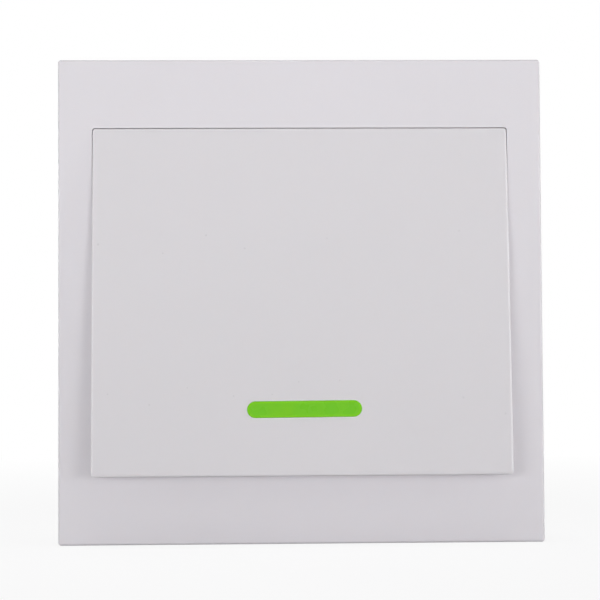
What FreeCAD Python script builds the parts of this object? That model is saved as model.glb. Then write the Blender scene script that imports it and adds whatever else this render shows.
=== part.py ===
import FreeCAD, Part
import math
import os

# A wireless wall switch on the 86 mm square pattern: one sprung key in a square plate, which works
# a push switch on a radio board, with a round battery below the board.
# Every piece is modelled lying on its back, in millimetres: x to the right, y up the wall and z out
# of the wall, from the middle of the back. stood_up() turns the finished piece to its own frame,
# where +Z is up and the front looks along -Y.

V = FreeCAD.Vector
SIDES = (-1, 1)

# Plate
plate_width = 86.0
plate_height = 86.0
plate_depth = 13.0
plate_skin = 2.0
plate_wall = 1.9
plate_corner = 1.0
plate_edge = 0.9
collar_wall = 1.2
collar_depth = 1.0
window_edge = 0.25
parting_gap = 0.2

# Key
key_width = 73.6
key_battery_gap = 0.25
key_rise = 5.0
key_skin = 2.0
key_wall = 1.6
key_corner = 0.5
key_edge = 0.4
key_gap = 0.3
swing_gap = 0.55
key_travel = 2.0

# Hinge of the key
hinge_inset = 4.5
hinge_drop = 1.0
pin_radius = 1.2
pin_length = 1.8
pin_fit = 0.05
pin_chamfer = 0.3
cheek_radius = 2.2
cheek_gap = 0.3
ear_radius = 2.6
ear_thick = 1.9

# Indicator lens in the key
lens_x = 0.43
lens_up = 11.6
lens_length = 20.0
lens_width = 2.8
lens_turn = 0.7
lens_proud = 0.1
lens_fit = 0.06
lens_flange_length = 27.0
lens_flange_width = 5.2
lens_flange_thick = 1.0
stake_reach = 12.2
stake_radius = 0.55
stake_head_radius = 1.0
stake_head_thick = 0.5

# Wall base
flange_inset = 0.5
flange_thick = 1.5
flange_edge = 0.4
floor_thick = 2.0
rim_gap = 0.3
rim_wall = 1.5
rim_corner = 1.0
rim_headroom = 0.2
snap_x = 25.0
snap_length = 8.0
snap_thick = 1.4
snap_reach = 0.9
snap_height = 4.0
snap_play = 0.15
pry_length = 10.0
pry_height = 1.5

# Wall fixing
screw_spacing = 60.3
slot_length = 9.0
slot_width = 4.4
slot_edge = 0.3
slot_pad_border = 2.5
slot_pad_thick = 1.0
pad_length = 60.0
pad_width = 14.0
pad_thick = 0.8
pad_corner = 1.0
pad_y = 25.0
pad_gap = 0.2
ejector_radius = 2.0
ejector_depth = 0.15
ejector_x = 12.0
ejector_y = 12.0

# Circuit board
board_gap_side = 0.9
board_gap_high = 1.05
board_gap_low = 1.75
board_thick = 1.2
board_corner = 1.0
board_standoff = 2.2
standoff_radius = 2.2
board_screw_inset = 3.5
board_pin_inset_x = 2.5
board_pin_inset_y = 5.0
board_pin_radius = 0.95
board_hole_play = 0.15
lead_play = 0.12

# Carrier
carrier_gap = 0.4
deck_thick = 1.4
deck_headroom = 0.1
carrier_wall = 1.2
carrier_wall_drop = 2.5
notch_reach = 6.6
notch_height = 13.4
carrier_screw_out = 1.0
carrier_screw_below_hinge = 9.25
carrier_boss_gap = 3.05
carrier_boss_radius = 2.3
shroud_wall = 0.8
shroud_height = 0.8
plunger_hole_play = 0.7
lamp_hole_play = 0.4
vent_length = 12.0
vent_width = 1.6
vent_count = 4
vent_pitch = 3.2

# Screws
screw_head_height = 1.2
screw_play = 0.05
screw_clear = 0.25
recess_width = 0.45
recess_share = 0.6
screw_tip = 0.8
carrier_screw_head = 1.9
carrier_screw_radius = 1.0
carrier_screw_length = 6.0
carrier_screw_sink = 0.7
board_screw_head = 1.8
board_screw_radius = 0.8
board_screw_length = 3.5
pilot_extra = 0.5

# Return springs
spring_inset_x = 8.8
spring_inset_y = 6.8
spring_radius = 2.5
spring_wire = 0.4
spring_turns = 8.5
spring_play = 0.05
well_play = 0.3
well_wall = 0.8
well_floor = 4.0
seat_radius = 3.0
seat_drop = 0.4
guide_play = 0.35
guide_length = 1.4

# Hooks and stops of the key
hook_inset = 6.0
hook_width = 4.0
hook_reach = 1.4
hook_thick = 1.25
hook_slope = 0.7
hook_play = 0.15
stop_gap = 0.57
stop_up = 10.75
stop_radius = 1.5
stop_play = 0.15
rib_x = 12.0
rib_thick = 1.0
rib_height = 1.0
rib_gap_low = 7.2
rib_gap_high = 5.25

# Push switch
press_arm = 7.0
press_tip_radius = 1.2
press_gap = 0.1
tact_size = 6.0
tact_height = 5.0
tact_body_height = 3.5
tact_cover_thick = 0.2
tact_floor = 0.7
tact_bore = 2.3
plunger_radius = 1.75
plunger_play = 0.2
plunger_flange = 2.1
plunger_flange_thick = 0.6
plunger_nub_radius = 0.8
dome_radius = 2.2
dome_rise = 0.45
dome_thick = 0.12
tact_pitch = 4.5
terminal_width = 0.7
terminal_thick = 0.3
terminal_reach = 0.55
terminal_height = 1.0
terminal_tail = 1.0

# Indicator lamp
lamp_radius = 1.5
lamp_flange_radius = 1.9
lamp_flange_thick = 1.0
lamp_height = 5.3
lamp_pitch = 2.54
lamp_lead = 0.5
lamp_tail = 1.0

# Round resonator can
resonator_out = 10.0
resonator_y = 4.0
resonator_base_radius = 4.65
resonator_base_thick = 0.5
resonator_can_radius = 4.15
resonator_height = 3.3
resonator_edge = 0.5
resonator_pin_radius = 0.22
resonator_pin_circle = 2.54
resonator_pin_count = 3
resonator_tail = 0.8

# Wound parts
antenna_inset = 5.5
antenna_y = 13.0
antenna_radius = 1.5
antenna_wire = 0.6
antenna_pitch = 1.35
antenna_turns = 15.5
tank_out = 5.0
tank_y = -7.5
tank_radius = 1.4
tank_wire = 0.5
tank_pitch = 1.0
tank_turns = 4.5
winding_lift = 0.2
winding_leg_depth = 0.6
winding_hole_play = 0.35
least_winding_gap = 0.4

# Chips
encoder_x = 8.0
encoder_y = 5.0
encoder_width = 3.9
encoder_length = 4.9
encoder_height = 1.45
encoder_pitch = 1.27
encoder_leads_each = 4
transistor_out = 7.0
transistor_capacitor_gap = 5.0
transistor_y = -6.0
transistor_width = 1.3
transistor_length = 2.9
transistor_height = 1.0
transistor_pitch = 1.9
chip_lift = 0.1
gull_reach = 1.05
gull_foot = 0.5
gull_thick = 0.18
gull_width = 0.4
mark_radius = 0.35
mark_depth = 0.08

# Small blocks with an end cap at each side: length, width and height
resistor_size = (2.0, 1.25, 0.5)
resistor_places = ((8.0, 11.5), (11.5, 11.5), (15.0, 11.5), (15.5, 5.0), (3.5, -10.5))
capacitor_size = (2.0, 1.25, 0.85)
capacitor_rows = (-1.5, -4.0)
capacitor_places = ((15.5, 2.0), (8.0, -1.5))
tantalum_size = (3.5, 2.8, 1.9)
tantalum_places = ((14.0, -9.0),)
diode_size = (2.7, 1.6, 1.1)
diode_places = ((14.0, -15.0),)
end_share = 0.2

# Battery and its contacts
battery_radius = 4.0
battery_length = 28.2
battery_x = -1.0
battery_lift = 0.3
battery_gap = 0.3
sleeve_thick = 0.15
sleeve_play = 0.02
sleeve_lip = 1.0
cap_radius = 1.6
cap_height = 0.8
saddle_x = (-10.0, 6.0)
saddle_width = 3.0
saddle_play = 0.15
saddle_arm = 0.95
saddle_arm_rise = 1.1
saddle_low_drop = 1.3
contact_thick = 0.3
contact_play = 0.02
contact_margin = 0.8
contact_arm_lift = 0.2
contact_arm_height = 1.2
contact_tail_width = 0.8
contact_tail_inset = 0.8
contact_slot_play = 0.2
contact_back_wall = 1.2
contact_spring_length = 3.1
contact_spring_wide = 2.4
contact_spring_narrow = 1.3
contact_spring_wire = 0.4
contact_spring_turns = 2.5

# Solder
solder_wide = 0.95
solder_narrow = 0.6
solder_height = 0.45

# Places and depths that follow from the sizes above
plate_back = flange_thick + parting_gap
skin_back = plate_depth - plate_skin
cavity_width = plate_width - 2 * plate_wall
cavity_height = plate_height - 2 * plate_wall
rim_width = cavity_width - 2 * rim_gap
rim_height = cavity_height - 2 * rim_gap
rim_top = skin_back - rim_headroom
rim_inner_low = -rim_height / 2 + rim_wall

board_back = floor_thick + board_standoff
board_top = board_back + board_thick
deck_back = board_top + tact_body_height + deck_headroom
deck_top = deck_back + deck_thick

key_border = plate_height / 2 + rim_inner_low + battery_gap + 2 * battery_radius + key_battery_gap
key_height = plate_height - 2 * key_border
key_top = key_height / 2
key_bottom = -key_height / 2
key_slope = key_rise / key_height
key_tilt = math.degrees(math.atan(key_slope))
key_face_length = math.hypot(key_height, key_rise)
key_skirt_end = skin_back - collar_depth
key_inner = key_width / 2 - key_wall
window_x = key_width / 2 + key_gap
window_top = key_top + key_gap
window_bottom = key_bottom - swing_gap

hinge_y = key_top - hinge_inset
hinge_z = deck_back - hinge_drop
carrier_side = key_inner - cheek_gap
carrier_top = key_top - key_wall - carrier_gap
carrier_bottom = key_bottom + key_wall + carrier_gap
key_swing = math.sin(math.radians(key_travel))

tact_y = hinge_y - press_arm
plunger_top = board_top + tact_height
lens_down = key_face_length - lens_up
lens_y = key_top - lens_down * math.cos(math.radians(key_tilt))
spring_x = key_width / 2 - spring_inset_x
spring_y = key_bottom + spring_inset_y
well_radius = spring_radius + well_play + well_wall
hook_x = spring_x - hook_inset
stop_x = lens_x + lens_flange_length / 2 + stop_gap + stop_radius
stop_y = key_bottom + stop_up
rib_low = lens_y + rib_gap_low
rib_high = tact_y - rib_gap_high
carrier_screw_x = spring_x + carrier_screw_out
carrier_screw_high = hinge_y - carrier_screw_below_hinge
carrier_screw_low = spring_y + well_radius + carrier_boss_gap + carrier_boss_radius

board_right = spring_x - well_radius - board_gap_side
board_high = carrier_top - carrier_wall - board_gap_high
board_low = key_bottom + key_wall + hook_reach + board_gap_low
board_screw_x = board_right - board_screw_inset
board_screw_y = board_high - board_screw_inset
board_pin_x = board_right - board_pin_inset_x
board_pin_y = board_low + board_pin_inset_y
antenna_x = antenna_inset - board_right
resonator_x = antenna_x + resonator_out
tank_x = antenna_x + tank_out
transistor_x = tank_x + transistor_out
capacitor_places += tuple((transistor_x + transistor_capacitor_gap, y) for y in capacitor_rows)
battery_y = rim_inner_low + battery_gap + battery_radius
battery_z = floor_thick + battery_lift + battery_radius


# Shapes

def span(middle, length):
    """The two ends of a length laid about its middle."""
    return (middle - length / 2, middle + length / 2)


def block(x, y, z):
    """A box between the two ends given along each axis."""
    return Part.makeBox(x[1] - x[0], y[1] - y[0], z[1] - z[0], V(x[0], y[0], z[0]))


def rod(radius, x, y, z):
    """A round bar along z, between the two ends of z."""
    return Part.makeCylinder(radius, z[1] - z[0], V(x, y, z[0]))


def cross_rod(radius, x, y, z):
    """A round bar along x, between the two ends of x."""
    return Part.makeCylinder(radius, x[1] - x[0], V(x[0], y, z), V(1, 0, 0))


def stadium(length, width, z):
    """A bar along x with full round ends, about the middle of the plane."""
    reach = (length - width) / 2
    middle = block((-reach, reach), span(0, width), z)
    ends = [rod(width / 2, side * reach, 0, z) for side in SIDES]
    return middle.multiFuse(ends).removeSplitter()


def prism(points, x):
    """A bar along x, between the two ends of x, whose section is a polygon of (y, z) points."""
    corners = [V(x[0], y, z) for y, z in points]
    face = Part.Face(Part.makePolygon(corners + corners[:1]))
    return face.extrude(V(x[1] - x[0], 0, 0))


def plate_strip(points, y):
    """A bar along y, between the two ends of y, whose section is a polygon of (x, z) points."""
    corners = [V(x, y[0], z) for x, z in points]
    face = Part.Face(Part.makePolygon(corners + corners[:1]))
    return face.extrude(V(0, y[1] - y[0], 0))


def moved(shape, x=0.0, y=0.0, z=0.0):
    """A copy of the shape, moved."""
    copy = shape.copy()
    copy.translate(V(x, y, z))
    return copy


def turned(shape, axis, angle, about=V(0, 0, 0)):
    """A copy of the shape, turned about an axis through a point."""
    copy = shape.copy()
    copy.rotate(about, axis, angle)
    return copy


def upright_edges(shape):
    """The edges that run along z."""
    return [edge for edge in shape.Edges if abs(edge.tangentAt(edge.FirstParameter).z) > 0.99]


def edges_near(shape, distance):
    """The edges whose middle lies where distance() of the point is next to nothing."""
    found = []
    for edge in shape.Edges:
        middle = edge.valueAt((edge.FirstParameter + edge.LastParameter) / 2)
        if abs(distance(middle)) < 1e-4:
            found.append(edge)
    return found


def rounded_block(x, y, z, corner):
    """A box whose four edges along z are rounded."""
    shape = block(x, y, z)
    return shape.makeFillet(corner, upright_edges(shape))


def on_key_face(shape):
    """Place a shape made about the lens's middle, with z out of the key's face."""
    laid = turned(shape, V(0, 0, 1), lens_turn)
    laid = moved(laid, x=lens_x, y=-lens_down)
    laid = turned(laid, V(1, 0, 0), -key_tilt)
    return moved(laid, y=key_top, z=plate_depth)


# Wound wire

def arc_between(start, corner, end):
    """The arc that leaves start and reaches end along the two lines that meet at the corner."""
    middle = (start + end) * 0.5
    half_chord = (end - start).Length / 2
    outward = corner - middle
    half_turn = math.acos(half_chord / (corner - start).Length)
    sagitta = half_chord * math.tan(half_turn / 2)
    return Part.Arc(start, middle + outward * (sagitta / outward.Length), end).toShape()


def biarc(start, start_way, end, end_way):
    """Two arcs that join two points of a curve and keep its direction at both."""
    chord = end - start
    ways = start_way + end_way
    spread = 2 * (1 - start_way.dot(end_way))
    along = chord.dot(ways)
    reach = (math.sqrt(along ** 2 + spread * chord.dot(chord)) - along) / spread
    first = start + start_way * reach
    last = end - end_way * reach
    joint = (first + last) * 0.5
    return [arc_between(start, first, joint), arc_between(joint, last, end)]


def helix_point(turn, rise, radius, radius_end, turns):
    """A point of the winding and the way it runs there, after so many turns."""
    angle = 2 * math.pi * turn
    here = radius + (radius_end - radius) * turn / turns
    growth = (radius_end - radius) / turns / (2 * math.pi)
    point = V(here * math.cos(angle), here * math.sin(angle), rise * turn)
    way = V(
        growth * math.cos(angle) - here * math.sin(angle),
        growth * math.sin(angle) + here * math.cos(angle),
        rise / (2 * math.pi),
    )
    return point, way.normalize()


def winding_gap(rise, radius, radius_end, turns, wire):
    """The least gap between a turn and the next ones, measured on points of the wire's line."""
    steps_a_turn = 36
    count = int(turns * steps_a_turn)
    points = [helix_point(step / steps_a_turn, rise, radius, radius_end, turns)[0]
              for step in range(count + 1)]
    nearest = min((points[a] - points[b]).Length
                  for a in range(count + 1)
                  for b in range(a + steps_a_turn // 2, count + 1))
    return nearest - wire


def winding(name, rise, radius, radius_end, turns, wire, leg=0.0):
    """One unbroken wire, wound about z from z = 0, with a straight leg at each end if it has any."""
    halves = round(turns * 2)
    stations = [helix_point(half / 2, rise, radius, radius_end, turns) for half in range(halves + 1)]
    edges = []
    for (start, start_way), (end, end_way) in zip(stations, stations[1:]):
        edges += biarc(start, start_way, end, end_way)
    begin, begin_way = stations[0]
    finish, finish_way = stations[-1]
    if leg > 0:
        foot = begin - begin_way * leg
        edges.insert(0, Part.makeLine(foot, begin))
        edges.append(Part.makeLine(finish, finish + finish_way * leg))
        begin = foot
    path = Part.Wire(edges)
    section = Part.Wire([Part.Circle(begin, begin_way, wire / 2).toShape()])
    tube = path.makePipeShell([section], True, False)
    gap = winding_gap(rise, radius, radius_end, turns, wire)
    clear = "clear" if gap > least_winding_gap else "too tight"
    share = tube.Volume / (math.pi * wire ** 2 / 4 * path.Length)
    print(f"{name}: least gap to itself {gap:.2f} mm, {clear}, volume {share:.4f} of section times length")
    return tube


# Plate and base

def front_frame():
    """The square plate with its side walls, the window for the key and the collar behind it."""
    depth = (plate_back, plate_depth)
    outer = rounded_block(span(0, plate_width), span(0, plate_height), depth, plate_corner)
    outer = outer.makeFillet(plate_edge, edges_near(outer, lambda point: point.z - plate_depth))
    cavity = block(span(0, cavity_width), span(0, cavity_height), (plate_back, skin_back))
    collar = block(
        (-window_x - collar_wall, window_x + collar_wall),
        (window_bottom - collar_wall, window_top + collar_wall),
        (key_skirt_end, skin_back),
    )
    window = block((-window_x, window_x), (window_bottom, window_top), (key_skirt_end, plate_depth))
    pry_depth = (plate_back, plate_back + pry_height)
    pry = block(span(0, pry_length), (-plate_height / 2, -cavity_height / 2), pry_depth)
    frame = outer.cut(cavity).fuse(collar).cut(window).cut(pry)
    frame = frame.multiFuse([snap_nub(x, side) for x in (-snap_x, snap_x) for side in SIDES])
    frame = frame.removeSplitter()
    return frame.makeFillet(window_edge, window_front_edges(frame))


def window_front_edges(frame):
    """The front edges of the window."""
    front = edges_near(frame, lambda point: point.z - plate_depth)
    return [edge for edge in front
            if max(abs(edge.CenterOfMass.x) - window_x, abs(edge.CenterOfMass.y) - window_top) < swing_gap]


def snap_nub(x, side):
    """A nub on the inside of the plate's upper or lower wall, which snaps into the rim."""
    wall = cavity_height / 2
    ramp = snap_height + snap_thick
    points = (
        (side * wall, snap_height),
        (side * (wall - snap_reach), snap_height + snap_thick / 2),
        (side * wall, ramp),
    )
    return prism(points, span(x, snap_length))


def snap_window(x, side):
    """The window in the rim that a nub snaps into."""
    wall = rim_height / 2
    height = (snap_height - snap_play, snap_height + snap_thick + snap_play)
    depth = sorted((side * wall, side * (wall - rim_wall)))
    return block(span(x, snap_length + 2 * snap_play), depth, height)


def wall_slot(side, border=0.0):
    """The slot for a wall screw on one side, or the raised pad about it when it has a border."""
    depth = (0, floor_thick + slot_pad_thick)
    return moved(stadium(slot_length + border, slot_width + border, depth), x=side * screw_spacing / 2)


def wall_base():
    """The tray on the wall, with everything that is moulded on its floor."""
    flange_width = plate_width - 2 * flange_inset
    flange_height = plate_height - 2 * flange_inset
    flange = rounded_block(span(0, flange_width), span(0, flange_height), (0, flange_thick), plate_corner)
    flange = flange.makeFillet(flange_edge, edges_near(flange, lambda point: point.z))
    tray = rounded_block(span(0, rim_width), span(0, rim_height), (0, rim_top), rim_corner)
    hollow = block(
        span(0, rim_width - 2 * rim_wall),
        span(0, rim_height - 2 * rim_wall),
        (floor_thick, rim_top),
    )
    raised = [wall_slot(side, 2 * slot_pad_border).common(tray) for side in SIDES]
    raised += [rod(carrier_boss_radius, x, y, (0, deck_back)) for x, y in carrier_screw_places()]
    raised += [rod(standoff_radius, x, y, (0, board_back)) for x, y in board_screw_places()]
    raised += [rod(standoff_radius, x, y, (0, board_back)) for x, y in board_pin_places()]
    raised += [rod(board_pin_radius, x, y, (0, board_top)) for x, y in board_pin_places()]
    raised += battery_cradle()
    sunk = [wall_slot(side) for side in SIDES]
    carrier_pilot = (carrier_pilot_floor(), deck_back)
    sunk += [rod(carrier_screw_radius + screw_play, x, y, carrier_pilot) for x, y in carrier_screw_places()]
    board_pilot = (board_top - board_screw_length - pilot_extra, board_back)
    sunk += [rod(board_screw_radius + screw_play, x, y, board_pilot) for x, y in board_screw_places()]
    sunk += [moved(pad_shape(pad_gap), y=side * pad_y) for side in SIDES]
    sunk += [rod(ejector_radius, x, y, (0, ejector_depth))
             for x in (-ejector_x, ejector_x) for y in (-ejector_y, ejector_y)]
    sunk += [snap_window(x, side) for x in (-snap_x, snap_x) for side in SIDES]
    base = flange.fuse(tray).cut(hollow).multiFuse(raised).removeSplitter()
    for hole in sunk:
        base = base.cut(hole)
    return base.makeChamfer(slot_edge, slot_back_edges(base))


def slot_back_edges(base):
    """The edges of the wall screws' slots at the back of the base."""
    found = []
    for edge in edges_near(base, lambda point: point.z):
        along = abs(abs(edge.CenterOfMass.x) - screw_spacing / 2)
        if along < slot_length / 2 + slot_edge and abs(edge.CenterOfMass.y) < slot_width:
            found.append(edge)
    return found


def carrier_screw_places():
    """Where the carrier is screwed down."""
    return [(side * carrier_screw_x, y) for side in SIDES for y in (carrier_screw_low, carrier_screw_high)]


def board_screw_places():
    """Where the board is screwed down."""
    return [(side * board_screw_x, board_screw_y) for side in SIDES]


def board_pin_places():
    """Where the board sits over a pin."""
    return [(side * board_pin_x, board_pin_y) for side in SIDES]


def carrier_pilot_floor():
    """How deep the pilot holes in the carrier's bosses go."""
    return deck_top - carrier_screw_sink - carrier_screw_length - pilot_extra


def pad_shape(gap):
    """A foam pad, or its recess with a gap about it."""
    length = span(0, pad_length + 2 * gap)
    return rounded_block(length, span(0, pad_width + 2 * gap), (0, pad_thick), pad_corner + gap)


def foam_pads():
    """The two strips of foam tape on the back."""
    return Part.makeCompound([moved(pad_shape(0), y=side * pad_y) for side in SIDES])


def battery_cradle():
    """The saddles under the battery and the walls behind its contacts."""
    low = rim_inner_low - rim_wall / 2
    arm = battery_y + battery_radius + saddle_play
    pieces = []
    for x in saddle_x:
        width = span(x, saddle_width)
        saddle = block(width, (low, arm + saddle_arm), (0, battery_z + saddle_arm_rise))
        saddle = saddle.cut(block(width, (low, battery_y), (battery_z - saddle_low_drop, rim_top)))
        saddle = saddle.cut(cross_rod(battery_radius + saddle_play, width, battery_y, battery_z))
        saddle = saddle.cut(block(width, (battery_y - 1, battery_y + battery_radius), (battery_z, rim_top)))
        pieces.append(saddle)
    top = battery_z + battery_radius - contact_margin
    for plate, way in ((positive_plate_x(), 1), (negative_plate_x(), -1)):
        back = plate[1] if way > 0 else plate[0]
        wall = sorted((back + way * contact_play, back + way * (contact_play + contact_back_wall)))
        pieces.append(block(wall, (low, battery_y + battery_radius - contact_margin), (0, top)))
    return pieces


# Board

def round_lead_places():
    """Where round or square leads pass through the board, each with the radius that it needs."""
    places = [(lens_x + side * lamp_pitch / 2, lens_y, lamp_lead * math.sqrt(0.5)) for side in SIDES]
    places += [(x, y, resonator_pin_radius) for x, y in resonator_pin_places()]
    places += [(x, y, terminal_width / 2 + terminal_thick / 4) for x, y in terminal_places()]
    return places


def winding_leg_places():
    """Where the legs of the coils pass through the board, each with the radius of its wire."""
    places = []
    for x, y, radius, wire, pitch, turns in (
        (antenna_x, antenna_y, antenna_radius, antenna_wire, antenna_pitch, antenna_turns),
        (tank_x, tank_y, tank_radius, tank_wire, tank_pitch, tank_turns),
    ):
        line = radius - wire / 2
        drift = winding_leg(radius) * pitch / (2 * math.pi * line)
        places.append((x + line, y + drift, wire / 2))
        places.append((x - line, y - pitch * turns - drift, wire / 2))
    return places


def circuit_board():
    """The board, with a hole for each lead, screw, pin and contact."""
    through = (board_back, board_top)
    board = rounded_block((-board_right, board_right), (board_low, board_high), through, board_corner)
    holes = [rod(board_screw_radius + screw_clear, x, y, through) for x, y in board_screw_places()]
    holes += [rod(board_pin_radius + board_hole_play, x, y, through) for x, y in board_pin_places()]
    holes += [rod(radius + lead_play, x, y, through) for x, y, radius in round_lead_places()]
    holes += [rod(radius + winding_hole_play, x, y, through) for x, y, radius in winding_leg_places()]
    for plate in (positive_plate_x(), negative_plate_x()):
        slot = (plate[0] - contact_slot_play, plate[1] + contact_slot_play)
        tail = (contact_tail_y()[0] - contact_slot_play, contact_tail_y()[1] + contact_slot_play)
        holes.append(block(slot, tail, through))
    for hole in holes:
        board = board.cut(hole)
    return board


def solder_joints():
    """A ring of solder on the back of the board about each round lead."""
    rings = []
    for x, y, radius in round_lead_places():
        foot = board_back - solder_height
        cone = Part.makeCone(solder_narrow + radius / 2, solder_wide, solder_height, V(x, y, foot))
        rings.append(cone.cut(rod(radius + lead_play / 2, x, y, (foot, board_back))))
    return Part.makeCompound(rings)


# Screws

def screw(head_radius, radius, length):
    """A pan head screw with a cross recess, whose head sits on z = 0."""
    head = rod(head_radius, 0, 0, (0, screw_head_height))
    rim = edges_near(head, lambda point: point.z - screw_head_height)
    head = head.makeFillet(screw_head_height / 3, rim)
    shank = rod(radius, 0, 0, (screw_tip - length, 0))
    tip = Part.makeCone(radius / 3, radius, screw_tip, V(0, 0, -length))
    body = head.multiFuse([shank, tip]).removeSplitter()
    reach = head_radius * recess_share
    depth = (screw_head_height * (1 - recess_share), screw_head_height)
    for arm in ((reach, recess_width / 2), (recess_width / 2, reach)):
        body = body.cut(block((-arm[0], arm[0]), (-arm[1], arm[1]), depth))
    return body


def carrier_screws():
    """The four screws that hold the carrier."""
    one = screw(carrier_screw_head, carrier_screw_radius, carrier_screw_length)
    seat = deck_top - carrier_screw_sink
    return Part.makeCompound([moved(one, x, y, seat) for x, y in carrier_screw_places()])


def board_screws():
    """The two screws that hold the board."""
    one = screw(board_screw_head, board_screw_radius, board_screw_length)
    return Part.makeCompound([moved(one, x, y, board_top) for x, y in board_screw_places()])


# Carrier and key

def carrier():
    """The chassis over the board: a deck with side walls, hinge ears and spring wells."""
    deck = block((-carrier_side, carrier_side), (carrier_bottom, carrier_top), (deck_back, deck_top))
    wall_depth = (deck_back - carrier_wall_drop, deck_back)
    adds = [block((-carrier_side, carrier_side), (carrier_top - carrier_wall, carrier_top), wall_depth)]
    cuts = []
    for side in SIDES:
        edge = sorted((side * carrier_side, side * (carrier_side - carrier_wall)))
        adds.append(block(edge, (carrier_bottom, carrier_top), wall_depth))
        ear = sorted((side * carrier_side, side * (carrier_side - ear_thick)))
        adds.append(cross_rod(ear_radius, ear, hinge_y, hinge_z))
        cuts.append(cross_rod(pin_radius + pin_fit, ear, hinge_y, hinge_z))
        adds.append(rod(well_radius, side * spring_x, spring_y, (well_floor - well_wall, deck_back)))
        cuts.append(rod(well_radius - well_wall, side * spring_x, spring_y, (well_floor, deck_top)))
        notch = sorted((side * (screw_spacing / 2 - notch_reach), side * (carrier_side + carrier_wall)))
        cuts.append(block(notch, span(0, notch_height), (wall_depth[0], deck_top)))
    lamp_hole = lamp_flange_radius + lamp_hole_play
    shroud = (deck_back, deck_top + shroud_height)
    adds.append(rod(lamp_hole + shroud_wall, lens_x, lens_y, shroud))
    cuts.append(rod(lamp_hole, lens_x, lens_y, shroud))
    cuts.append(rod(plunger_radius + plunger_hole_play, 0, tact_y, (deck_back, deck_top)))
    for x, y in carrier_screw_places():
        cuts.append(rod(carrier_screw_radius + screw_clear, x, y, (deck_back, deck_top)))
        cuts.append(rod(carrier_screw_head + screw_clear, x, y, (deck_top - carrier_screw_sink, deck_top)))
    for index in range(vent_count):
        y = (index - (vent_count - 1) / 2) * vent_pitch
        cuts.append(moved(stadium(vent_length, vent_width, (deck_back, deck_top)), y=y))
    chassis = deck.multiFuse(adds).removeSplitter()
    for cut in cuts:
        chassis = chassis.cut(cut)
    return chassis


def key_face(y):
    """How far out of the wall the key's face is at this height."""
    return plate_depth + (key_top - y) * key_slope


def key_under(y):
    """How far out of the wall the back of the key's skin is at this height."""
    return key_face(y) - key_skin / math.cos(math.radians(key_tilt))


def key_shell():
    """The key's skin and its four walls."""
    outline = (
        (key_top, key_skirt_end),
        (key_top, key_face(key_top)),
        (key_bottom, key_face(key_bottom)),
        (key_bottom, key_skirt_end),
    )
    shell = prism(outline, span(0, key_width))
    shell = shell.makeFillet(key_corner, upright_edges(shell))
    shell = shell.makeFillet(key_edge, edges_near(shell, lambda point: point.z - key_face(point.y)))
    high = key_top - key_wall
    low = key_bottom + key_wall
    hollow = ((high, key_skirt_end), (high, key_under(high)), (low, key_under(low)), (low, key_skirt_end))
    return shell.cut(prism(hollow, (-key_inner, key_inner)))


def key_hinge(side):
    """A cheek that reaches down beside the carrier's ear, and the pin on it."""
    wall = sorted((side * key_inner, side * key_width / 2))
    cheek = cross_rod(cheek_radius, wall, hinge_y, hinge_z)
    neck = block(wall, span(hinge_y, 2 * cheek_radius), (hinge_z, key_skirt_end + key_wall))
    tip = side * (key_inner - pin_length)
    pin = cross_rod(pin_radius, sorted((side * key_inner, tip)), hinge_y, hinge_z)
    pin = pin.makeChamfer(pin_chamfer, edges_near(pin, lambda point: point.x - tip))
    return [cheek, neck, pin]


def key_hook(side):
    """A hook on the key's lower wall that catches under the deck's edge."""
    inner = key_bottom + key_wall
    top = deck_back - hook_play
    low = top - hook_thick
    root = key_skirt_end + key_edge
    points = (
        (key_bottom, root),
        (key_bottom, low),
        (inner, low),
        (inner + hook_reach, low + hook_slope),
        (inner + hook_reach, top),
        (inner, top),
        (inner, root),
    )
    return prism(points, span(side * hook_x, hook_width))


def key_spring_seat(side):
    """The flat seat of a return spring on the key, with the guide inside the spring."""
    seat = key_under(spring_y) - seat_drop
    root = key_under(spring_y) + key_skin / 2
    guide_radius = spring_radius - spring_wire - guide_play
    return [
        rod(seat_radius, side * spring_x, spring_y, (seat, root)),
        rod(guide_radius, side * spring_x, spring_y, (seat - guide_length, root)),
    ]


def key_stop(side):
    """The post that meets the deck at the end of the key's travel."""
    end = deck_top + (hinge_y - stop_y) * key_swing + stop_play
    return rod(stop_radius, side * stop_x, stop_y, (end, key_under(stop_y) + key_skin / 2))


def key_rib(side):
    """A stiffening rib on the back of the key's skin."""
    points = (
        (rib_high, key_under(rib_high) + key_skin / 2),
        (rib_low, key_under(rib_low) + key_skin / 2),
        (rib_low, key_under(rib_low) - rib_height),
        (rib_high, key_under(rib_high) - rib_height),
    )
    return prism(points, span(side * rib_x, rib_thick))


def key():
    """The key with its pins, hooks, stops, spring seats and the post over the push switch."""
    adds = [rod(press_tip_radius, 0, tact_y, (plunger_top + press_gap, key_under(tact_y) + key_skin / 2))]
    for side in SIDES:
        adds += key_hinge(side) + key_spring_seat(side)
        adds += [key_hook(side), key_stop(side), key_rib(side)]
    stake_end = -key_skin - lens_flange_thick - stake_head_thick
    for side in SIDES:
        stake = rod(stake_radius, side * stake_reach, 0, (stake_end, -key_skin / 2))
        head = rod(stake_head_radius, side * stake_reach, 0, (stake_end, stake_end + stake_head_thick))
        adds.append(on_key_face(stake.fuse(head)))
    body = key_shell().multiFuse(adds).removeSplitter()
    through = (-key_skin - lens_fit, key_skin)
    opening = stadium(lens_length + 2 * lens_fit, lens_width + 2 * lens_fit, through)
    return body.cut(on_key_face(opening))


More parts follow.
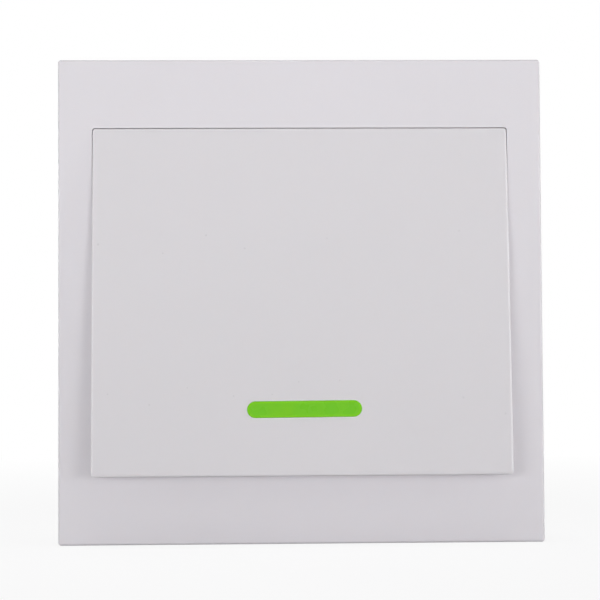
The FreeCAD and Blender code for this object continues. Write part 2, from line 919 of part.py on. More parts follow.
def indicator_lens():
    """The green window of the key, with a flange behind the skin held by two stakes."""
    window = stadium(lens_length, lens_width, (-key_skin - lens_flange_thick, lens_proud))
    flange = stadium(lens_flange_length, lens_flange_width, (-key_skin - lens_flange_thick, -key_skin))
    lens = window.fuse(flange).removeSplitter()
    for side in SIDES:
        through = (-key_skin - lens_flange_thick, -key_skin)
        lens = lens.cut(rod(stake_radius + lens_fit, side * stake_reach, 0, through))
    return on_key_face(lens)


def return_spring(side):
    """One of the two springs that push the key out."""
    seat = key_under(spring_y) - seat_drop
    low = well_floor + spring_wire / 2 + spring_play
    rise = (seat - spring_wire / 2 - spring_play - low) / spring_turns
    line = spring_radius - spring_wire / 2
    coil = winding("return spring", rise, line, line, spring_turns, spring_wire)
    return moved(coil, side * spring_x, spring_y, low)


# Push switch

def tact_body():
    """The moulded body of the push switch."""
    top = board_top + tact_body_height - tact_cover_thick
    body = block(span(0, tact_size), span(tact_y, tact_size), (board_top, top))
    return body.cut(rod(tact_bore, 0, tact_y, (board_top + tact_floor, top)))


def tact_cover():
    """The steel cover of the push switch, with the hole for the plunger."""
    depth = (board_top + tact_body_height - tact_cover_thick, board_top + tact_body_height)
    cover = block(span(0, tact_size), span(tact_y, tact_size), depth)
    return cover.cut(rod(plunger_radius + plunger_play, 0, tact_y, depth))


def tact_dome():
    """The snap dome under the plunger."""
    base = board_top + tact_floor
    radius = (dome_radius ** 2 + dome_rise ** 2) / (2 * dome_rise)
    centre = V(0, tact_y, base + dome_rise - radius)
    outer = Part.makeSphere(radius, centre)
    inner = Part.makeSphere(radius - dome_thick, centre)
    cap = rod(dome_radius, 0, tact_y, (base, base + dome_rise + dome_thick))
    return outer.cut(inner).common(cap)


def tact_plunger():
    """The plunger, with the flange that keeps it under the cover and the nub over the dome."""
    under_cover = board_top + tact_body_height - tact_cover_thick - contact_play
    dome_top = board_top + tact_floor + dome_rise
    stem = rod(plunger_radius, 0, tact_y, (under_cover - plunger_flange_thick, plunger_top))
    flange = rod(plunger_flange, 0, tact_y, (under_cover - plunger_flange_thick, under_cover))
    nub = rod(plunger_nub_radius, 0, tact_y, (dome_top + press_gap, under_cover))
    return stem.multiFuse([flange, nub]).removeSplitter()


def terminal_places():
    """Where the push switch's terminals pass through the board."""
    reach = tact_size / 2 + terminal_reach - terminal_thick / 2
    return [(side * reach, tact_y + end * tact_pitch / 2) for side in SIDES for end in SIDES]


def tact_terminals():
    """The four bent terminals of the push switch."""
    inner = tact_size / 2
    outer = inner + terminal_reach
    top = board_top + terminal_height
    legs = []
    for side in SIDES:
        points = [(side * x, z) for x, z in (
            (inner, top),
            (outer, top),
            (outer, board_back - terminal_tail),
            (outer - terminal_thick, board_back - terminal_tail),
            (outer - terminal_thick, top - terminal_thick),
            (inner, top - terminal_thick),
        )]
        legs += [plate_strip(points, span(tact_y + end * tact_pitch / 2, terminal_width)) for end in SIDES]
    return Part.makeCompound(legs)


# Lamp, resonator and wound parts

def lamp_body():
    """The indicator lamp under the lens, with its flange and domed top."""
    shoulder = board_top + lamp_height - lamp_radius
    flange = rod(lamp_flange_radius, lens_x, lens_y, (board_top, board_top + lamp_flange_thick))
    barrel = rod(lamp_radius, lens_x, lens_y, (board_top, shoulder))
    dome = Part.makeSphere(lamp_radius, V(lens_x, lens_y, shoulder))
    return flange.multiFuse([barrel, dome]).removeSplitter()


def lamp_leads():
    """The two square leads of the lamp."""
    depth = (board_back - lamp_tail, board_top)
    places = [lens_x + side * lamp_pitch / 2 for side in SIDES]
    return Part.makeCompound([block(span(x, lamp_lead), span(lens_y, lamp_lead), depth) for x in places])


def resonator_can():
    """The round can of the resonator, on its flanged base."""
    base_depth = (board_top, board_top + resonator_base_thick)
    base = rod(resonator_base_radius, resonator_x, resonator_y, base_depth)
    top = board_top + resonator_height
    can = rod(resonator_can_radius, resonator_x, resonator_y, (board_top, top))
    can = can.makeFillet(resonator_edge, edges_near(can, lambda point: point.z - top))
    return base.fuse(can).removeSplitter()


def resonator_pin_places():
    """Where the resonator's pins pass through the board."""
    places = []
    for index in range(resonator_pin_count):
        angle = math.radians(90 + 360 * index / resonator_pin_count)
        places.append((resonator_x + resonator_pin_circle * math.cos(angle),
                       resonator_y + resonator_pin_circle * math.sin(angle)))
    return places


def resonator_pins():
    """The pins of the resonator."""
    depth = (board_back - resonator_tail, board_top)
    return Part.makeCompound([rod(resonator_pin_radius, x, y, depth) for x, y in resonator_pin_places()])


def winding_leg(radius):
    """How far the leg of a coil on the board reaches, from its axis into the board."""
    return radius + winding_lift + winding_leg_depth


def board_winding(name, x, y, radius, wire, pitch, turns):
    """A coil that lies on the board and runs down it from y, with both legs pointing into it."""
    line = radius - wire / 2
    coil = winding(name, pitch, line, line, turns, wire, winding_leg(radius))
    coil = turned(coil, V(1, 0, 0), 90)
    return moved(coil, x, y, board_top + winding_lift + radius)


def antenna():
    """The wound antenna."""
    return board_winding("antenna", antenna_x, antenna_y, antenna_radius, antenna_wire,
                         antenna_pitch, antenna_turns)


def tank_coil():
    """The small coil that tunes the radio stage."""
    return board_winding("tank coil", tank_x, tank_y, tank_radius, tank_wire, tank_pitch, tank_turns)


# Chips and small blocks

def chip(x, y, size):
    """The body of a chip, just above the board, with a round mark at its first lead."""
    width, length, height = size
    depth = (board_top + chip_lift, board_top + chip_lift + height)
    body = block(span(x, width), span(y, length), depth)
    mark_x = x - width / 2 + 2 * mark_radius
    mark_y = y + length / 2 - 2 * mark_radius
    return body.cut(rod(mark_radius, mark_x, mark_y, (depth[1] - mark_depth, depth[1])))


def gull_lead(x, y, side, body_half, body_height):
    """A bent lead from the side of a chip down to the board."""
    inner = body_half
    outer = body_half + gull_reach
    knee = outer - gull_foot
    top = board_top + chip_lift + body_height / 2
    points = [(x + side * along, z) for along, z in (
        (inner, top),
        (knee, top),
        (knee, board_top + gull_thick),
        (outer, board_top + gull_thick),
        (outer, board_top),
        (knee - gull_thick, board_top),
        (knee - gull_thick, top - gull_thick),
        (inner, top - gull_thick),
    )]
    return plate_strip(points, span(y, gull_width))


def encoder_chip():
    """The chip that makes the radio code."""
    return chip(encoder_x, encoder_y, (encoder_width, encoder_length, encoder_height))


def encoder_leads():
    """The leads of the encoder chip, as many on each side."""
    leads = []
    for index in range(encoder_leads_each):
        y = encoder_y + (index - (encoder_leads_each - 1) / 2) * encoder_pitch
        leads += [gull_lead(encoder_x, y, side, encoder_width / 2, encoder_height) for side in SIDES]
    return Part.makeCompound(leads)


def radio_transistor():
    """The body of the radio transistor."""
    return chip(transistor_x, transistor_y, (transistor_width, transistor_length, transistor_height))


def transistor_leads():
    """The three leads of the radio transistor."""
    half = transistor_width / 2
    leads = [gull_lead(transistor_x, transistor_y + end * transistor_pitch / 2, -1, half, transistor_height)
             for end in SIDES]
    leads.append(gull_lead(transistor_x, transistor_y, 1, half, transistor_height))
    return Part.makeCompound(leads)


def chip_bodies(size, places):
    """The middles of small blocks that lie along x on the board."""
    length, width, height = size
    inner = length * (1 - 2 * end_share)
    return Part.makeCompound([
        block(span(x, inner), span(y, width), (board_top, board_top + height)) for x, y in places])


def chip_ends(size, places):
    """The metal ends of small blocks that lie along x on the board."""
    length, width, height = size
    end = length * end_share
    return Part.makeCompound([
        block(span(x + side * (length - end) / 2, end), span(y, width), (board_top, board_top + height))
        for x, y in places for side in SIDES])


# Battery

def battery_span():
    """The two ends of the battery along x, with its cap."""
    return span(battery_x, battery_length)


def can_span():
    """The two ends of the battery's can."""
    low, high = battery_span()
    return (low + sleeve_thick, high - cap_height)


def positive_plate_x():
    """Where the positive contact lies along x."""
    start = battery_span()[1] + contact_play
    return (start, start + contact_thick)


def negative_plate_x():
    """Where the negative contact lies along x."""
    end = can_span()[0] - contact_spring_length
    return (end - contact_thick, end)


def contact_tail_y():
    """Where the contacts' tails pass through the board along y."""
    low = board_low + contact_tail_inset
    return (low, low + contact_tail_width)


def battery_can():
    """The battery's steel can."""
    return cross_rod(battery_radius - sleeve_thick - sleeve_play, can_span(), battery_y, battery_z)


def battery_sleeve():
    """The printed sleeve about the can, turned in at both ends."""
    low, high = can_span()
    whole = (low - sleeve_thick, high + sleeve_thick)
    inside = (low - sleeve_play, high + sleeve_play)
    sleeve = cross_rod(battery_radius, whole, battery_y, battery_z)
    sleeve = sleeve.cut(cross_rod(battery_radius - sleeve_thick, inside, battery_y, battery_z))
    return sleeve.cut(cross_rod(battery_radius - sleeve_lip, whole, battery_y, battery_z))


def battery_cap():
    """The raised positive end of the battery."""
    return cross_rod(cap_radius, (can_span()[1], battery_span()[1]), battery_y, battery_z)


def battery_contact(plate):
    """A contact plate at one end of the battery, with its arm and tail to the board."""
    radius = battery_radius - contact_margin
    arm = (board_top + contact_arm_lift, board_top + contact_arm_lift + contact_arm_height)
    tail = contact_tail_y()
    plate_y = (battery_y - radius, battery_y + radius)
    face = block(plate, plate_y, (battery_z - radius, battery_z + radius))
    bridge = block(plate, (battery_y, tail[1]), arm)
    leg = block(plate, tail, (board_back - terminal_tail, arm[1]))
    return face.multiFuse([bridge, leg]).removeSplitter()


def contact_spring():
    """The cone shaped spring that pushes the battery against the positive contact."""
    play = contact_spring_wire / 2 + spring_play
    rise = (contact_spring_length - 2 * play) / contact_spring_turns
    cone = winding("contact spring", rise, contact_spring_wide, contact_spring_narrow,
                   contact_spring_turns, contact_spring_wire)
    cone = turned(cone, V(0, 1, 0), 90)
    return moved(cone, negative_plate_x()[1] + play, battery_y, battery_z)


# Writing the pieces out

PIECES = {
    "front_frame": front_frame,
    "wall_base": wall_base,
    "foam_pads": foam_pads,
    "carrier": carrier,
    "carrier_screws": carrier_screws,
    "key": key,
    "indicator_lens": indicator_lens,
    "return_spring_left": lambda: return_spring(-1),
    "return_spring_right": lambda: return_spring(1),
    "circuit_board": circuit_board,
    "board_screws": board_screws,
    "solder_joints": solder_joints,
    "tact_body": tact_body,
    "tact_cover": tact_cover,
    "tact_dome": tact_dome,
    "tact_plunger": tact_plunger,
    "tact_terminals": tact_terminals,
    "lamp_body": lamp_body,
    "lamp_leads": lamp_leads,
    "resonator_can": resonator_can,
    "resonator_pins": resonator_pins,
    "antenna": antenna,
    "tank_coil": tank_coil,
    "encoder_chip": encoder_chip,
    "encoder_leads": encoder_leads,
    "radio_transistor": radio_transistor,
    "transistor_leads": transistor_leads,
    "chip_resistors": lambda: chip_bodies(resistor_size, resistor_places),
    "resistor_ends": lambda: chip_ends(resistor_size, resistor_places),
    "chip_capacitors": lambda: chip_bodies(capacitor_size, capacitor_places),
    "capacitor_ends": lambda: chip_ends(capacitor_size, capacitor_places),
    "supply_capacitor": lambda: chip_bodies(tantalum_size, tantalum_places),
    "supply_capacitor_ends": lambda: chip_ends(tantalum_size, tantalum_places),
    "supply_diode": lambda: chip_bodies(diode_size, diode_places),
    "diode_ends": lambda: chip_ends(diode_size, diode_places),
    "battery_can": battery_can,
    "battery_sleeve": battery_sleeve,
    "battery_cap": battery_cap,
    "positive_contact": lambda: battery_contact(positive_plate_x()),
    "negative_contact": lambda: battery_contact(negative_plate_x()),
    "contact_spring": contact_spring,
}


def stood_up(shape):
    """The finished piece as it hangs on the wall, +Z up and the front along -Y."""
    return turned(shape, V(1, 0, 0), 90)


def main():
    """Write each piece to its own STEP file."""
    os.makedirs("parts", exist_ok=True)
    for name, make in PIECES.items():
        shape = stood_up(make())
        solids = shape.Solids
        whole = solids[0] if len(solids) == 1 else Part.makeCompound(solids)
        whole.exportStep(f"parts/{name}.step")
        print(f"{name}: {len(solids)} solid(s), {whole.Volume:.2f} mm3, valid {whole.isValid()}")


main()
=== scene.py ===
# %% [markdown]
# # A wireless wall switch, dressed for its photograph
# The switch is a square white plate with one large white key in it, hinged near its top edge and
# sprung at the bottom. The CAD model already says where every piece is, how big it is and how it moves.
# This file gives the pieces their looks: soft moulded edges, satin plastic, a green light window, and
# the finishes of everything inside, on the same axes: +X right, +Z up the wall, and -Y out of the wall.

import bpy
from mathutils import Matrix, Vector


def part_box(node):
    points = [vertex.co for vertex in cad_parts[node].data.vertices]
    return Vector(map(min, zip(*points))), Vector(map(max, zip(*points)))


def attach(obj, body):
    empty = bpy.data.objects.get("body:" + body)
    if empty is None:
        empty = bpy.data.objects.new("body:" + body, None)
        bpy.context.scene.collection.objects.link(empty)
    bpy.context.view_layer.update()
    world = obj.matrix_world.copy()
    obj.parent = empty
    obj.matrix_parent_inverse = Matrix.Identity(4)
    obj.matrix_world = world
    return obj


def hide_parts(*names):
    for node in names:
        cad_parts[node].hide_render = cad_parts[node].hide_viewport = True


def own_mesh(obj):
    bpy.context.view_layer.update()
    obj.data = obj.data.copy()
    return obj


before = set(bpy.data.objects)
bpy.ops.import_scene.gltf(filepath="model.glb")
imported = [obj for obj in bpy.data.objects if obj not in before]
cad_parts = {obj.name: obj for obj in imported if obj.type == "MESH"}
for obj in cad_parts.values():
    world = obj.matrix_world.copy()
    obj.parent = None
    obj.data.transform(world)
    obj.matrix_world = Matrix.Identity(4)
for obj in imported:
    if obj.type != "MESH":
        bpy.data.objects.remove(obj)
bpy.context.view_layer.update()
print("nodes in the frame:", len(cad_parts))

# %% Modules and units
from math import atan2, cos, hypot, pi, radians, sin, sqrt

import bmesh
import bpy
from mathutils import Matrix, Vector

MM = 0.001
SIDES = (-1, 1)


def in_mm(values):
    """Lengths in millimetres, rounded for printing."""
    return [round(value / MM, 2) for value in values]


# %% [markdown]
# ## Sizes
# The outer sizes are read from the frame, so that the looks follow the CAD model. What a box can't
# tell, such as a wall's thickness or the radius of an edge, is written here in millimetres. The
# photograph shows the key a hair wider and lower at the top than the CAD model, with a finer gap.

# %% Sizes from the frame
plate_low, plate_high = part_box("front_frame")
key_low, key_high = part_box("key")
pads_low, pads_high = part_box("foam_pads")
plunger_low, plunger_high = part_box("tact_plunger")
spring_low, spring_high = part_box("return_spring_right")

plate_front = plate_low.y
plate_back = plate_high.y
key_top_drop = 0.03 * MM
key_side_growth = 0.08 * MM
key_top = key_high.z - key_top_drop
key_bottom = key_low.z
key_half = key_high.x + key_side_growth
print("plate", in_mm(plate_high - plate_low), "mm")

# %% Sizes of walls, gaps and edges
plate_skin = 2.0 * MM
plate_wall = 1.9 * MM
plate_corner = 0.55 * MM
plate_edge = 0.42 * MM
window_edge = 0.10 * MM
window_corner = 0.5 * MM
collar_wall = 1.2 * MM
collar_depth = 1.0 * MM
key_gap = 0.068 * MM
swing_gap = 0.24 * MM
key_skin = 2.0 * MM
key_wall = 1.6 * MM
key_corner = 0.5 * MM
key_edge = 0.32 * MM
key_low_round = 2.6
inner_corner = 0.3 * MM
tiny_edge = 0.12 * MM
hold = 0.12 * MM

# %% [markdown]
# ## Shader groups
# Several finishes share an effect: the spark-eroded grain of a mould, the slow drift of a colour,
# edges lightened by rubbing and by a painted highlight, fine dust and the lines of drawn or brushed
# metal. Each effect is a node group with named inputs, so one change to the group changes every
# material that uses it.

# %% Helpers for node trees
def add_node(tree, kind, inputs=None, **settings):
    """Add a node, set its properties, and fill or link its inputs by name or number."""
    node = tree.nodes.new(kind)
    for name, value in settings.items():
        setattr(node, name, value)
    for name, value in (inputs or {}).items():
        if isinstance(value, bpy.types.NodeSocket):
            tree.links.new(value, node.inputs[name])
        else:
            node.inputs[name].default_value = value
    return node


def new_group(name, inputs, outputs):
    """Start a shader node group; inputs and outputs are lists of (name, socket type, default)."""
    tree = bpy.data.node_groups.new(name, "ShaderNodeTree")
    for title, kind, default in inputs:
        socket = tree.interface.new_socket(name=title, in_out="INPUT", socket_type=kind)
        if default is not None:
            socket.default_value = default
    for title, kind in outputs:
        tree.interface.new_socket(name=title, in_out="OUTPUT", socket_type=kind)
    source = tree.nodes.new("NodeGroupInput")
    result = tree.nodes.new("NodeGroupOutput")
    return tree, source.outputs, result.inputs


def math_node(tree, operation, *values, clamp=False):
    """A Math node of two or three values, which are numbers or sockets."""
    inputs = {index: value for index, value in enumerate(values)}
    return add_node(tree, "ShaderNodeMath", inputs, operation=operation, use_clamp=clamp).outputs[0]


def ramp_between(tree, value, low, high):
    """Stretch the part of a value between low and high to 0 to 1."""
    inputs = {"Value": value, "From Min": low, "From Max": high}
    return add_node(tree, "ShaderNodeMapRange", inputs, clamp=True).outputs["Result"]


# %% Moulded grain
def moulded_grain_group():
    """The fine pebble that spark erosion leaves in a mould, as a height from 0 to 1."""
    tree, given, result = new_group(
        "moulded_grain",
        [("Vector", "NodeSocketVector", None), ("Scale", "NodeSocketFloat", 3000.0)],
        [("Height", "NodeSocketFloat")],
    )
    cloud_scale_share = 0.45
    pebble_share = 0.6
    level = 0.6
    pebble = add_node(
        tree,
        "ShaderNodeTexVoronoi",
        {"Vector": given["Vector"], "Scale": given["Scale"]},
        feature="F1",
    )
    broader = math_node(tree, "MULTIPLY", given["Scale"], cloud_scale_share)
    cloud = add_node(
        tree,
        "ShaderNodeTexNoise",
        {"Vector": given["Vector"], "Scale": broader, "Detail": 3.0, "Roughness": 0.55},
    )
    both = math_node(tree, "MULTIPLY_ADD", pebble.outputs["Distance"], pebble_share, cloud.outputs["Fac"])
    tree.links.new(math_node(tree, "MULTIPLY", both, level), result["Height"])
    return tree


# %% Colour drift
def colour_drift_group():
    """A slow change between two near colours, as resin and light ageing give."""
    tree, given, result = new_group(
        "colour_drift",
        [
            ("Vector", "NodeSocketVector", None),
            ("Colour", "NodeSocketColor", (0.7, 0.7, 0.7, 1.0)),
            ("Drift", "NodeSocketColor", (0.65, 0.65, 0.65, 1.0)),
            ("Scale", "NodeSocketFloat", 20.0),
        ],
        [("Colour", "NodeSocketColor"), ("Share", "NodeSocketFloat")],
    )
    cloud = add_node(
        tree,
        "ShaderNodeTexNoise",
        {"Vector": given["Vector"], "Scale": given["Scale"], "Detail": 2.0, "Roughness": 0.5},
    )
    thin_cloud, full_cloud = 0.3, 0.7
    share = ramp_between(tree, cloud.outputs["Fac"], thin_cloud, full_cloud)
    mix = add_node(
        tree, "ShaderNodeMix", {"Factor": share, "A": given["Colour"], "B": given["Drift"]}, data_type="RGBA"
    )
    tree.links.new(mix.outputs["Result"], result["Colour"])
    tree.links.new(share, result["Share"])
    return tree


# %% Rubbed and highlit edges
def rubbed_and_highlit_edges_group():
    """A mask that is 1 on the crests of edges and fades within the radius, for rubbing wear and a painted
    highlight.
    """
    tree, given, result = new_group(
        "rubbed_and_highlit_edges",
        [
            ("Vector", "NodeSocketVector", None),
            ("Radius", "NodeSocketFloat", 0.0004),
            ("Amount", "NodeSocketFloat", 0.5),
        ],
        [("Mask", "NodeSocketFloat")],
    )
    rounded = add_node(tree, "ShaderNodeBevel", {"Radius": given["Radius"]}, samples=6)
    surface = add_node(tree, "ShaderNodeNewGeometry")
    facing = add_node(
        tree,
        "ShaderNodeVectorMath",
        {0: rounded.outputs["Normal"], 1: surface.outputs["True Normal"]},
        operation="DOT_PRODUCT",
    )
    slight_bend, full_bend = 0.004, 0.10
    bare_patch, full_patch = 0.3, 0.65
    bend = math_node(tree, "SUBTRACT", 1.0, facing.outputs["Value"])
    crest = ramp_between(tree, bend, slight_bend, full_bend)
    cloud = add_node(tree, "ShaderNodeTexNoise", {"Vector": given["Vector"], "Scale": 180.0, "Detail": 3.0})
    patches = ramp_between(tree, cloud.outputs["Fac"], bare_patch, full_patch)
    broken = math_node(tree, "MULTIPLY", crest, patches)
    tree.links.new(math_node(tree, "MULTIPLY", broken, given["Amount"], clamp=True), result["Mask"])
    return tree


# %% Fine dust
def fine_dust_group():
    """A few specks of dust, as a mask that is mostly 0."""
    tree, given, result = new_group(
        "fine_dust",
        [
            ("Vector", "NodeSocketVector", None),
            ("Scale", "NodeSocketFloat", 700.0),
            ("Size", "NodeSocketFloat", 0.06),
        ],
        [("Mask", "NodeSocketFloat")],
    )
    cells = add_node(
        tree, "ShaderNodeTexVoronoi", {"Vector": given["Vector"], "Scale": given["Scale"]}, feature="F1"
    )
    clean_share = 0.8
    chance = add_node(tree, "ShaderNodeSeparateColor", {"Color": cells.outputs["Color"]})
    size = math_node(tree, "MULTIPLY", chance.outputs["Red"], given["Size"])
    speck = math_node(tree, "LESS_THAN", cells.outputs["Distance"], size)
    rare = math_node(tree, "GREATER_THAN", chance.outputs["Green"], clean_share)
    tree.links.new(math_node(tree, "MULTIPLY", speck, rare), result["Mask"])
    return tree


# %% Brushed lines
def brushed_lines_group():
    """Long fine lines, as drawing, rolling or brushing leaves in metal."""
    tree, given, result = new_group(
        "brushed_lines",
        [
            ("Vector", "NodeSocketVector", None),
            ("Stretch", "NodeSocketVector", (60.0, 6000.0, 6000.0)),
        ],
        [("Height", "NodeSocketFloat")],
    )
    long_way = add_node(
        tree, "ShaderNodeVectorMath", {0: given["Vector"], 1: given["Stretch"]}, operation="MULTIPLY"
    )
    lines = add_node(
        tree, "ShaderNodeTexNoise", {"Vector": long_way.outputs["Vector"], "Scale": 1.0, "Detail": 4.0}
    )
    tree.links.new(lines.outputs["Fac"], result["Height"])
    return tree


# %% Build the groups
GROUPS = {
    "grain": moulded_grain_group(),
    "drift": colour_drift_group(),
    "rub_and_highlight": rubbed_and_highlit_edges_group(),
    "dust": fine_dust_group(),
    "brushed": brushed_lines_group(),
}
print("shader groups:", sorted(GROUPS))

# %% [markdown]
# ## Finishes
# Each finish starts from the same bench: a Principled shader, the object's own coordinates, and small
# helpers that place a group and join it to the shader. Numbers that are the same all over a surface
# are set on the shader itself, and only what changes from place to place comes through nodes.

# %% The bench that each finish is made on
def colour4(colour):
    """A colour of three numbers with full alpha."""
    return (*colour, 1.0)


def scaled(colour, factor, extra=0.0):
    """A lighter or darker shade of a colour."""
    return [min(1.0, part * factor + extra) for part in colour]


class Finish:
    """A material in the making: its tree, its shader and the object's coordinates."""

    def __init__(self, name, **shader_values):
        self.material = bpy.data.materials.new(name)
        self.material.use_nodes = True
        self.tree = self.material.node_tree
        self.shader = self.tree.nodes["Principled BSDF"]
        self.place = add_node(self.tree, "ShaderNodeTexCoord").outputs["Object"]
        for title, value in shader_values.items():
            self.shader.inputs[title.replace("_", " ")].default_value = value

    def node(self, kind, inputs=None, **settings):
        """Add a node to this finish's tree."""
        return add_node(self.tree, kind, inputs, **settings)

    def group(self, title, **inputs):
        """Place one of the shared groups, with the object's coordinates."""
        inputs["Vector"] = self.place
        return self.node("ShaderNodeGroup", inputs, node_tree=GROUPS[title]).outputs

    def drifting(self, colour, drift, scale):
        """Place the colour drift between two near colours."""
        return self.group("drift", Colour=colour4(colour), Drift=colour4(drift), Scale=scale)

    def feed(self, title, value):
        """Join a socket to one of the shader's inputs."""
        self.tree.links.new(value, self.shader.inputs[title])

    def between(self, share, low, high):
        """A value that runs from low to high with the share."""
        return math_node(self.tree, "MULTIPLY_ADD", share, high - low, low)

    def mixed(self, share, first, second):
        """A colour between two others, each a colour or a socket."""
        inputs = {"Factor": share}
        for title, colour in (("A", first), ("B", second)):
            inputs[title] = colour if isinstance(colour, bpy.types.NodeSocket) else colour4(colour)
        return self.node("ShaderNodeMix", inputs, data_type="RGBA").outputs["Result"]

    def bump(self, height, depth):
        """Feed a height of this depth in metres to the shader's normal."""
        raised = self.node("ShaderNodeBump", {"Height": height, "Distance": depth})
        self.feed("Normal", raised.outputs["Normal"])


# %% [markdown]
# ## White moulded plastic
# The plate and the key are the same satin white resin, a little lilac, but the key's colour is set a
# painted shade darker, so that under these lamps it reads as light as the plate. The mould's face leaves
# a very fine grain, too fine to see as bumps but enough to blur a reflection. The colour drifts by a
# percent or two, the gloss is a shade higher where fingers polish the edges, and a few specks of dust sit
# on it. The crests of the edges are lighter, from rubbing and from a painted highlight, except on the
# key's lower edge, and the plate's outer sides are painted darker, a painted shade that outlines it.

# %% Moulded plastics
def painted_side_shade_mask(finish):
    """A mask for painted shade: 1 on the plate's outer sides and fading over its front edge."""
    edge_left = 0.2
    part = finish.node("ShaderNodeSeparateXYZ", {"Vector": finish.place})
    across = math_node(finish.tree, "ABSOLUTE", part.outputs["X"])
    upright = math_node(finish.tree, "ABSOLUTE", part.outputs["Z"])
    reach = math_node(finish.tree, "MAXIMUM", across, upright)
    return ramp_between(finish.tree, reach, plate_high.x - plate_edge, plate_high.x - plate_edge * edge_left)


def above_low_edge(finish):
    """A mask that is 0 on the key's lower edge, which faces down and is kept free of the painted highlight,
    and 1 above it.
    """
    unrubbed = key_bottom + 0.5 * key_edge
    rubbed_and_highlit = key_bottom + 3.0 * key_edge
    upright = finish.node("ShaderNodeSeparateXYZ", {"Vector": finish.place}).outputs["Z"]
    return ramp_between(finish.tree, upright, unrubbed, rubbed_and_highlit)


def moulded_plastic(
    name, colour, drift, gloss, grain_scale, grain_depth,
    rub_and_highlight=0.3, wear_and_highlight_lift=1.16, dust=0.25, drift_scale=14.0, glow=0.0, painted_side_shade=None, rub_and_highlight_where=None,
):
    """Satin plastic: colour drift, fine grain, edges lightened by rubbing and by a painted highlight, an
    optional painted shade on the outer sides, and a little dust.
    """
    rub_and_highlight_reach = 0.6 * MM
    dust_shade = 0.62
    rub_polish = -0.12
    finish = Finish(
        name,
        Specular_IOR_Level=0.5,
        IOR=1.49,
        Subsurface_Weight=glow,
        Subsurface_Radius=(1.0, 0.9, 0.85),
        Subsurface_Scale=0.5 * MM,
    )
    drifted = finish.drifting(colour, drift, drift_scale)
    # The crests of the edges take a lighter colour, partly rubbing wear and partly a painted highlight.
    rubbed_and_highlit = finish.group("rub_and_highlight", Radius=rub_and_highlight_reach, Amount=rub_and_highlight)["Mask"]
    if rub_and_highlight_where is not None:
        rubbed_and_highlit = math_node(finish.tree, "MULTIPLY", rubbed_and_highlit, rub_and_highlight_where(finish))
    worn_and_highlit = finish.mixed(rubbed_and_highlit, drifted["Colour"], scaled(colour, wear_and_highlight_lift))
    # The plate's outer sides are painted darker: a painted shade that outlines the plate.
    if painted_side_shade is not None:
        worn_and_highlit = finish.mixed(painted_side_shade_mask(finish), worn_and_highlit, scaled(colour, painted_side_shade))
    specks = finish.group("dust", Scale=420.0, Size=0.09)["Mask"]
    dust_share = math_node(finish.tree, "MULTIPLY", specks, dust)
    finish.feed("Base Color", finish.mixed(dust_share, worn_and_highlit, scaled(colour, dust_shade)))
    smooth = finish.between(drifted["Share"], *gloss)
    finish.feed("Roughness", math_node(finish.tree, "MULTIPLY_ADD", rubbed_and_highlit, rub_polish, smooth))
    finish.bump(finish.group("grain", Scale=grain_scale)["Height"], grain_depth)
    return finish.material


white_housing = moulded_plastic(
    "satin_white_plate", colour=(0.702, 0.679, 0.706), drift=(0.687, 0.666, 0.690), gloss=(0.40, 0.46),
    grain_scale=5200.0, grain_depth=0.010 * MM, rub_and_highlight=0.15, glow=0.4, painted_side_shade=0.80,
)
# The key's colour is a painted shade darker than the plate's, so the two read alike under these lamps; its
# edge crests carry the strongest painted highlight.
white_key = moulded_plastic(
    "satin_white_key", colour=(0.673, 0.653, 0.672), drift=(0.661, 0.643, 0.660), gloss=(0.36, 0.42),
    grain_scale=5200.0, grain_depth=0.008 * MM, rub_and_highlight=0.9, wear_and_highlight_lift=1.25, glow=0.4, rub_and_highlight_where=above_low_edge,
)
base_plastic = moulded_plastic(
    "fine_textured_base", colour=(0.665, 0.652, 0.675), drift=(0.640, 0.630, 0.652), gloss=(0.50, 0.60),
    grain_scale=2200.0, grain_depth=0.030 * MM, rub_and_highlight=0.8,
)
chassis_plastic = moulded_plastic(
    "pale_grey_chassis", colour=(0.520, 0.525, 0.540), drift=(0.490, 0.495, 0.512), gloss=(0.46, 0.56),
    grain_scale=3200.0, grain_depth=0.020 * MM, rub_and_highlight=0.5,
)
black_plastic = moulded_plastic(
    "black_switch_plastic", colour=(0.018, 0.018, 0.020), drift=(0.026, 0.026, 0.028), gloss=(0.38, 0.50),
    grain_scale=3600.0, grain_depth=0.012 * MM, rub_and_highlight=0.6, drift_scale=120.0,
)
print("moulded plastics ready")

# %% [markdown]
# ## The green light window
# The window is a clear green moulding over a lamp. Unlit, it looks flat green from the front, a shade
# yellower along its rim, where its own edge gathers light. The rim comes from the distance to the
# middle line of the bar, worked out in the window's own turned and tilted axes.

# %% Where the light window sits on the key
key_rise = plate_front - key_low.y
key_height = key_top - key_bottom
key_tilt = atan2(key_rise, key_height)
lens_centre_x = 0.38 * MM
lens_up = 11.6 * MM
lens_turn = radians(0.4)
lens_length = 20.1 * MM
lens_width = 2.88 * MM
lens_proud = 0.1 * MM
lens_fit = 0.02 * MM
stake_fit = 0.06 * MM
lens_down = hypot(key_height, key_rise) - lens_up

face_place = (
    Matrix.Translation((0.0, plate_front, key_top))
    @ Matrix.Rotation(-key_tilt, 4, "X")
    @ Matrix.Translation((lens_centre_x, 0.0, -lens_down))
    @ Matrix.Rotation(-lens_turn, 4, "Y")
)
lens_middle = face_place @ Vector((0.0, 0.0, 0.0))
print("light window middle", in_mm(lens_middle), "mm")


